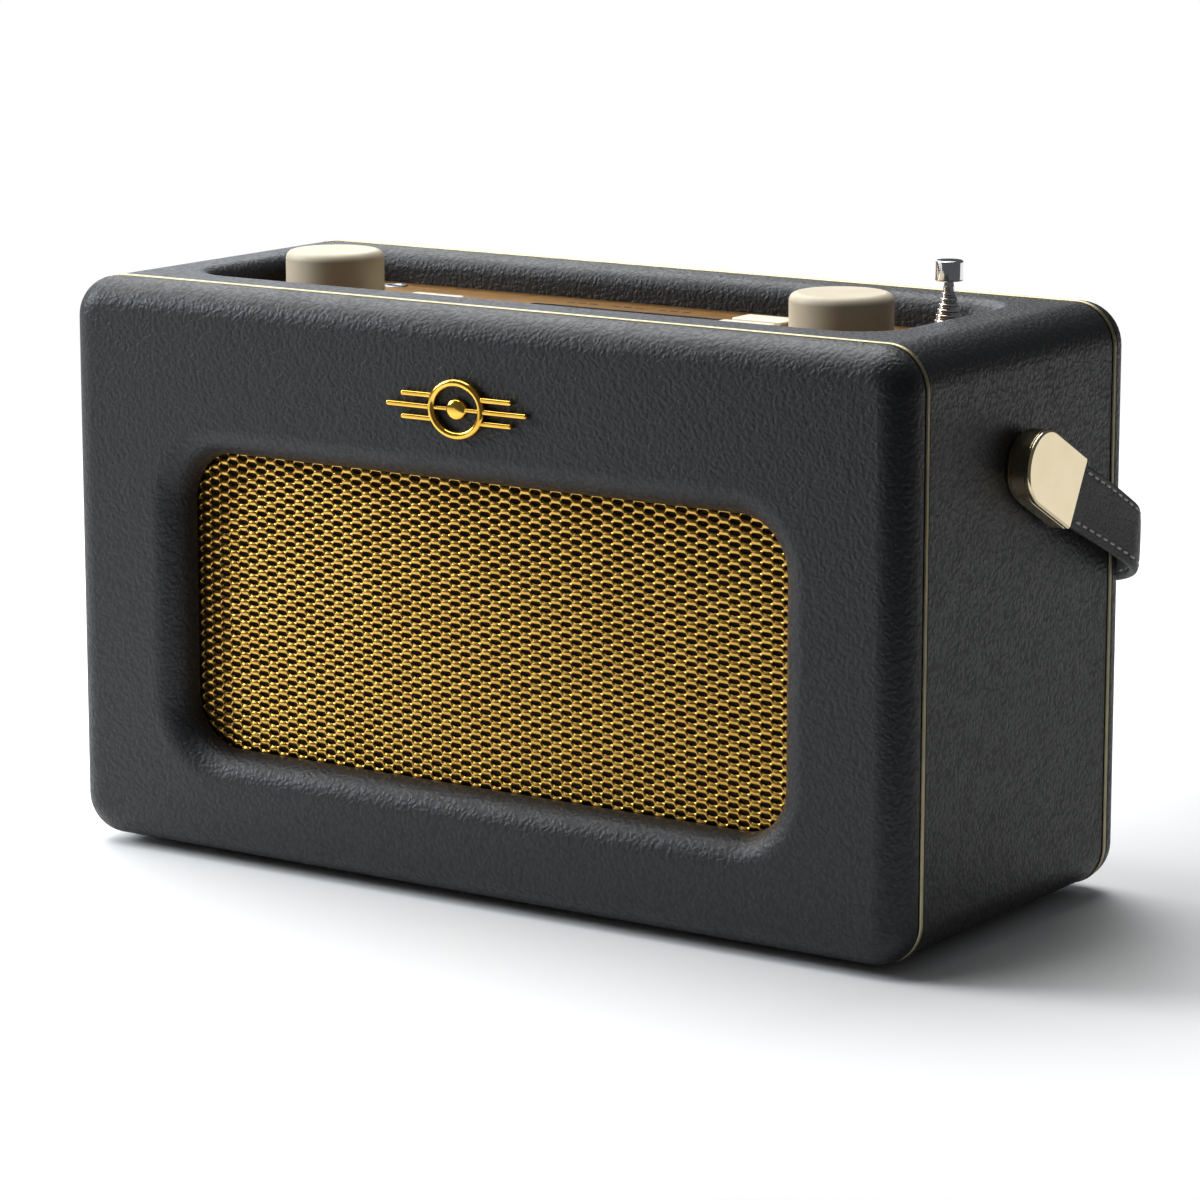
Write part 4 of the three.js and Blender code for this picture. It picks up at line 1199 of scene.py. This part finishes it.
def cells_form():
    """Four cells standing side by side, each with a rounded shoulder and a raised pole."""
    lo, hi = corners("battery_pack")
    radius = (hi.y - lo.y) / 2
    y = (lo.y + hi.y) / 2
    form = Form()
    pitch = (hi.x - lo.x - 2 * radius) / 3
    for k in range(4):
        x = lo.x + radius + pitch * k
        height = hi.z - lo.z
        shoulder = height - 1.5
        profile = [(0, 0), (radius - 1.2, 0), (radius - 0.4, 0.4), (radius - 0.1, 1.2)]
        profile += [(radius - 0.1, height - 2.6), (radius - 0.5, height - 1.8), (radius - 1.4, shoulder)]
        profile += [(5.2, shoulder), (5.2, height - 0.3), (4.7, height), (0, height)]
        form.turn(profile, (x, y, lo.z), "z", 48)
    return form


piece("battery_cells", cells_form(), cell_wrap, "cabinet", ["battery_pack"])


# ---------------------------------------------------------------- floor, light and camera

# The floor stops short of the viewer, so that edges turned that way reflect a dark room.
near_left, near_right, far, wide = 0.87, -0.31, 2.4, 2.2
toward = Vector((0.562, -0.827, 0))
aside = Vector((0.827, 0.562, 0))
floor_corners = [(near_left, -wide), (near_right, wide), (-far, wide), (-far, -wide)]
floor_mesh = bpy.data.meshes.new("floor")
floor_mesh.from_pydata([toward * a + aside * b for a, b in floor_corners], [], [(0, 1, 2, 3)])
floor = bpy.data.objects.new("floor", floor_mesh)
scene.collection.objects.link(floor)


def floor_finish():
    """White paper under the radio that turns into an evenly lit backdrop, with a soft shade on the right."""
    f = Finish("floor_white", Base_Color=(0.9, 0.9, 0.9, 1), Roughness=0.7)

    def distance(x, y):
        offset = f.vector("SUBTRACT", f.coords, (x, y, 0.0))
        return f.add("ShaderNodeVectorMath", {0: offset}, operation="LENGTH").outputs["Value"]

    fade = {"Value": distance(0.16, 0.06), "From Min": 0.42, "From Max": 0.95}
    glow = f.add("ShaderNodeMapRange", fade, interpolation_type="SMOOTHSTEP")
    lit = f.add("ShaderNodeEmission", {"Color": (1, 1, 1, 1), "Strength": 1.02}).outputs[0]
    blend = f.add("ShaderNodeMixShader", {0: glow.outputs["Result"], 1: f.shader.outputs[0], 2: lit})
    # Painted shadow: a dark patch mixed into the floor to the right of and behind the radio, so that its
    # right side reflects a darker floor.
    shade = f.ramp(distance(0.27, 0.21), [(0.08, 0.45), (0.14, 0.34), (0.24, 0.0)])
    dark = f.add("ShaderNodeBsdfDiffuse", {"Color": (0.05, 0.05, 0.05, 1)}).outputs[0]
    blend = f.add("ShaderNodeMixShader", {0: shade, 1: blend.outputs[0], 2: dark})
    f.tree.links.new(blend.outputs[0], f.tree.nodes["Material Output"].inputs["Surface"])
    return f.material


floor_mesh.materials.append(floor_finish())
floor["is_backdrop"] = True

world = bpy.data.worlds.new("studio")
world.use_nodes = True
studio = world.node_tree
dim = studio.nodes["Background"]
dim.inputs["Color"].default_value = (0.95, 0.97, 1.0, 1.0)
dim.inputs["Strength"].default_value = 0.1
white = studio.nodes.new("ShaderNodeBackground")
white.inputs["Strength"].default_value = 1.0
white.inputs["Color"].default_value = (1.0, 1.0, 1.0, 1.0)
pick = studio.nodes.new("ShaderNodeMixShader")
studio.links.new(studio.nodes.new("ShaderNodeLightPath").outputs["Is Camera Ray"], pick.inputs[0])
studio.links.new(dim.outputs[0], pick.inputs[1])
studio.links.new(white.outputs[0], pick.inputs[2])
studio.links.new(pick.outputs[0], studio.nodes["World Output"].inputs["Surface"])
scene.world = world
scene.view_settings.view_transform = "Standard"


def softbox(name, location, target, size, power, colour=(1, 1, 1)):
    lamp = bpy.data.lights.new(name, "AREA")
    lamp.shape = "RECTANGLE"
    lamp.size, lamp.size_y = size
    lamp.energy = power
    lamp.color = colour
    obj = bpy.data.objects.new(name, lamp)
    scene.collection.objects.link(obj)
    obj.location = location
    obj.rotation_euler = (Vector(target) - Vector(location)).to_track_quat("-Z", "Y").to_euler()
    return obj


softbox("overhead", (-0.97, 0.35, 1.9), (-0.1, 0.1, 0), (2.4, 2.2), 87, (0.99, 0.995, 1.0))
softbox("front_left", (-1.1, -0.5, 0.6), (0, 0, 0.08), (0.45, 0.45), 12, (0.9, 0.95, 1.0))
softbox("rear_left", (-1.75, 1.55, 0.75), (0, 0, 0.12), (1.5, 0.9), 8, (0.84, 0.91, 1.0))

camera = bpy.data.objects.new("camera", bpy.data.cameras.new("camera"))
scene.collection.objects.link(camera)
camera.data.lens = 136.66
camera.data.sensor_width = 36
camera.data.clip_start, camera.data.clip_end = 0.05, 60
camera.location = (0.64767, -0.95435, 0.29725)
camera.rotation_euler = (math.pi / 2 - 0.1957, 0, 0.5965)
scene.camera = camera

bpy.context.view_layer.update()
lo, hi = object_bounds()
{"cad": [list(cad_box[0]), list(cad_box[1])], "visual": [list(lo), list(hi)]}
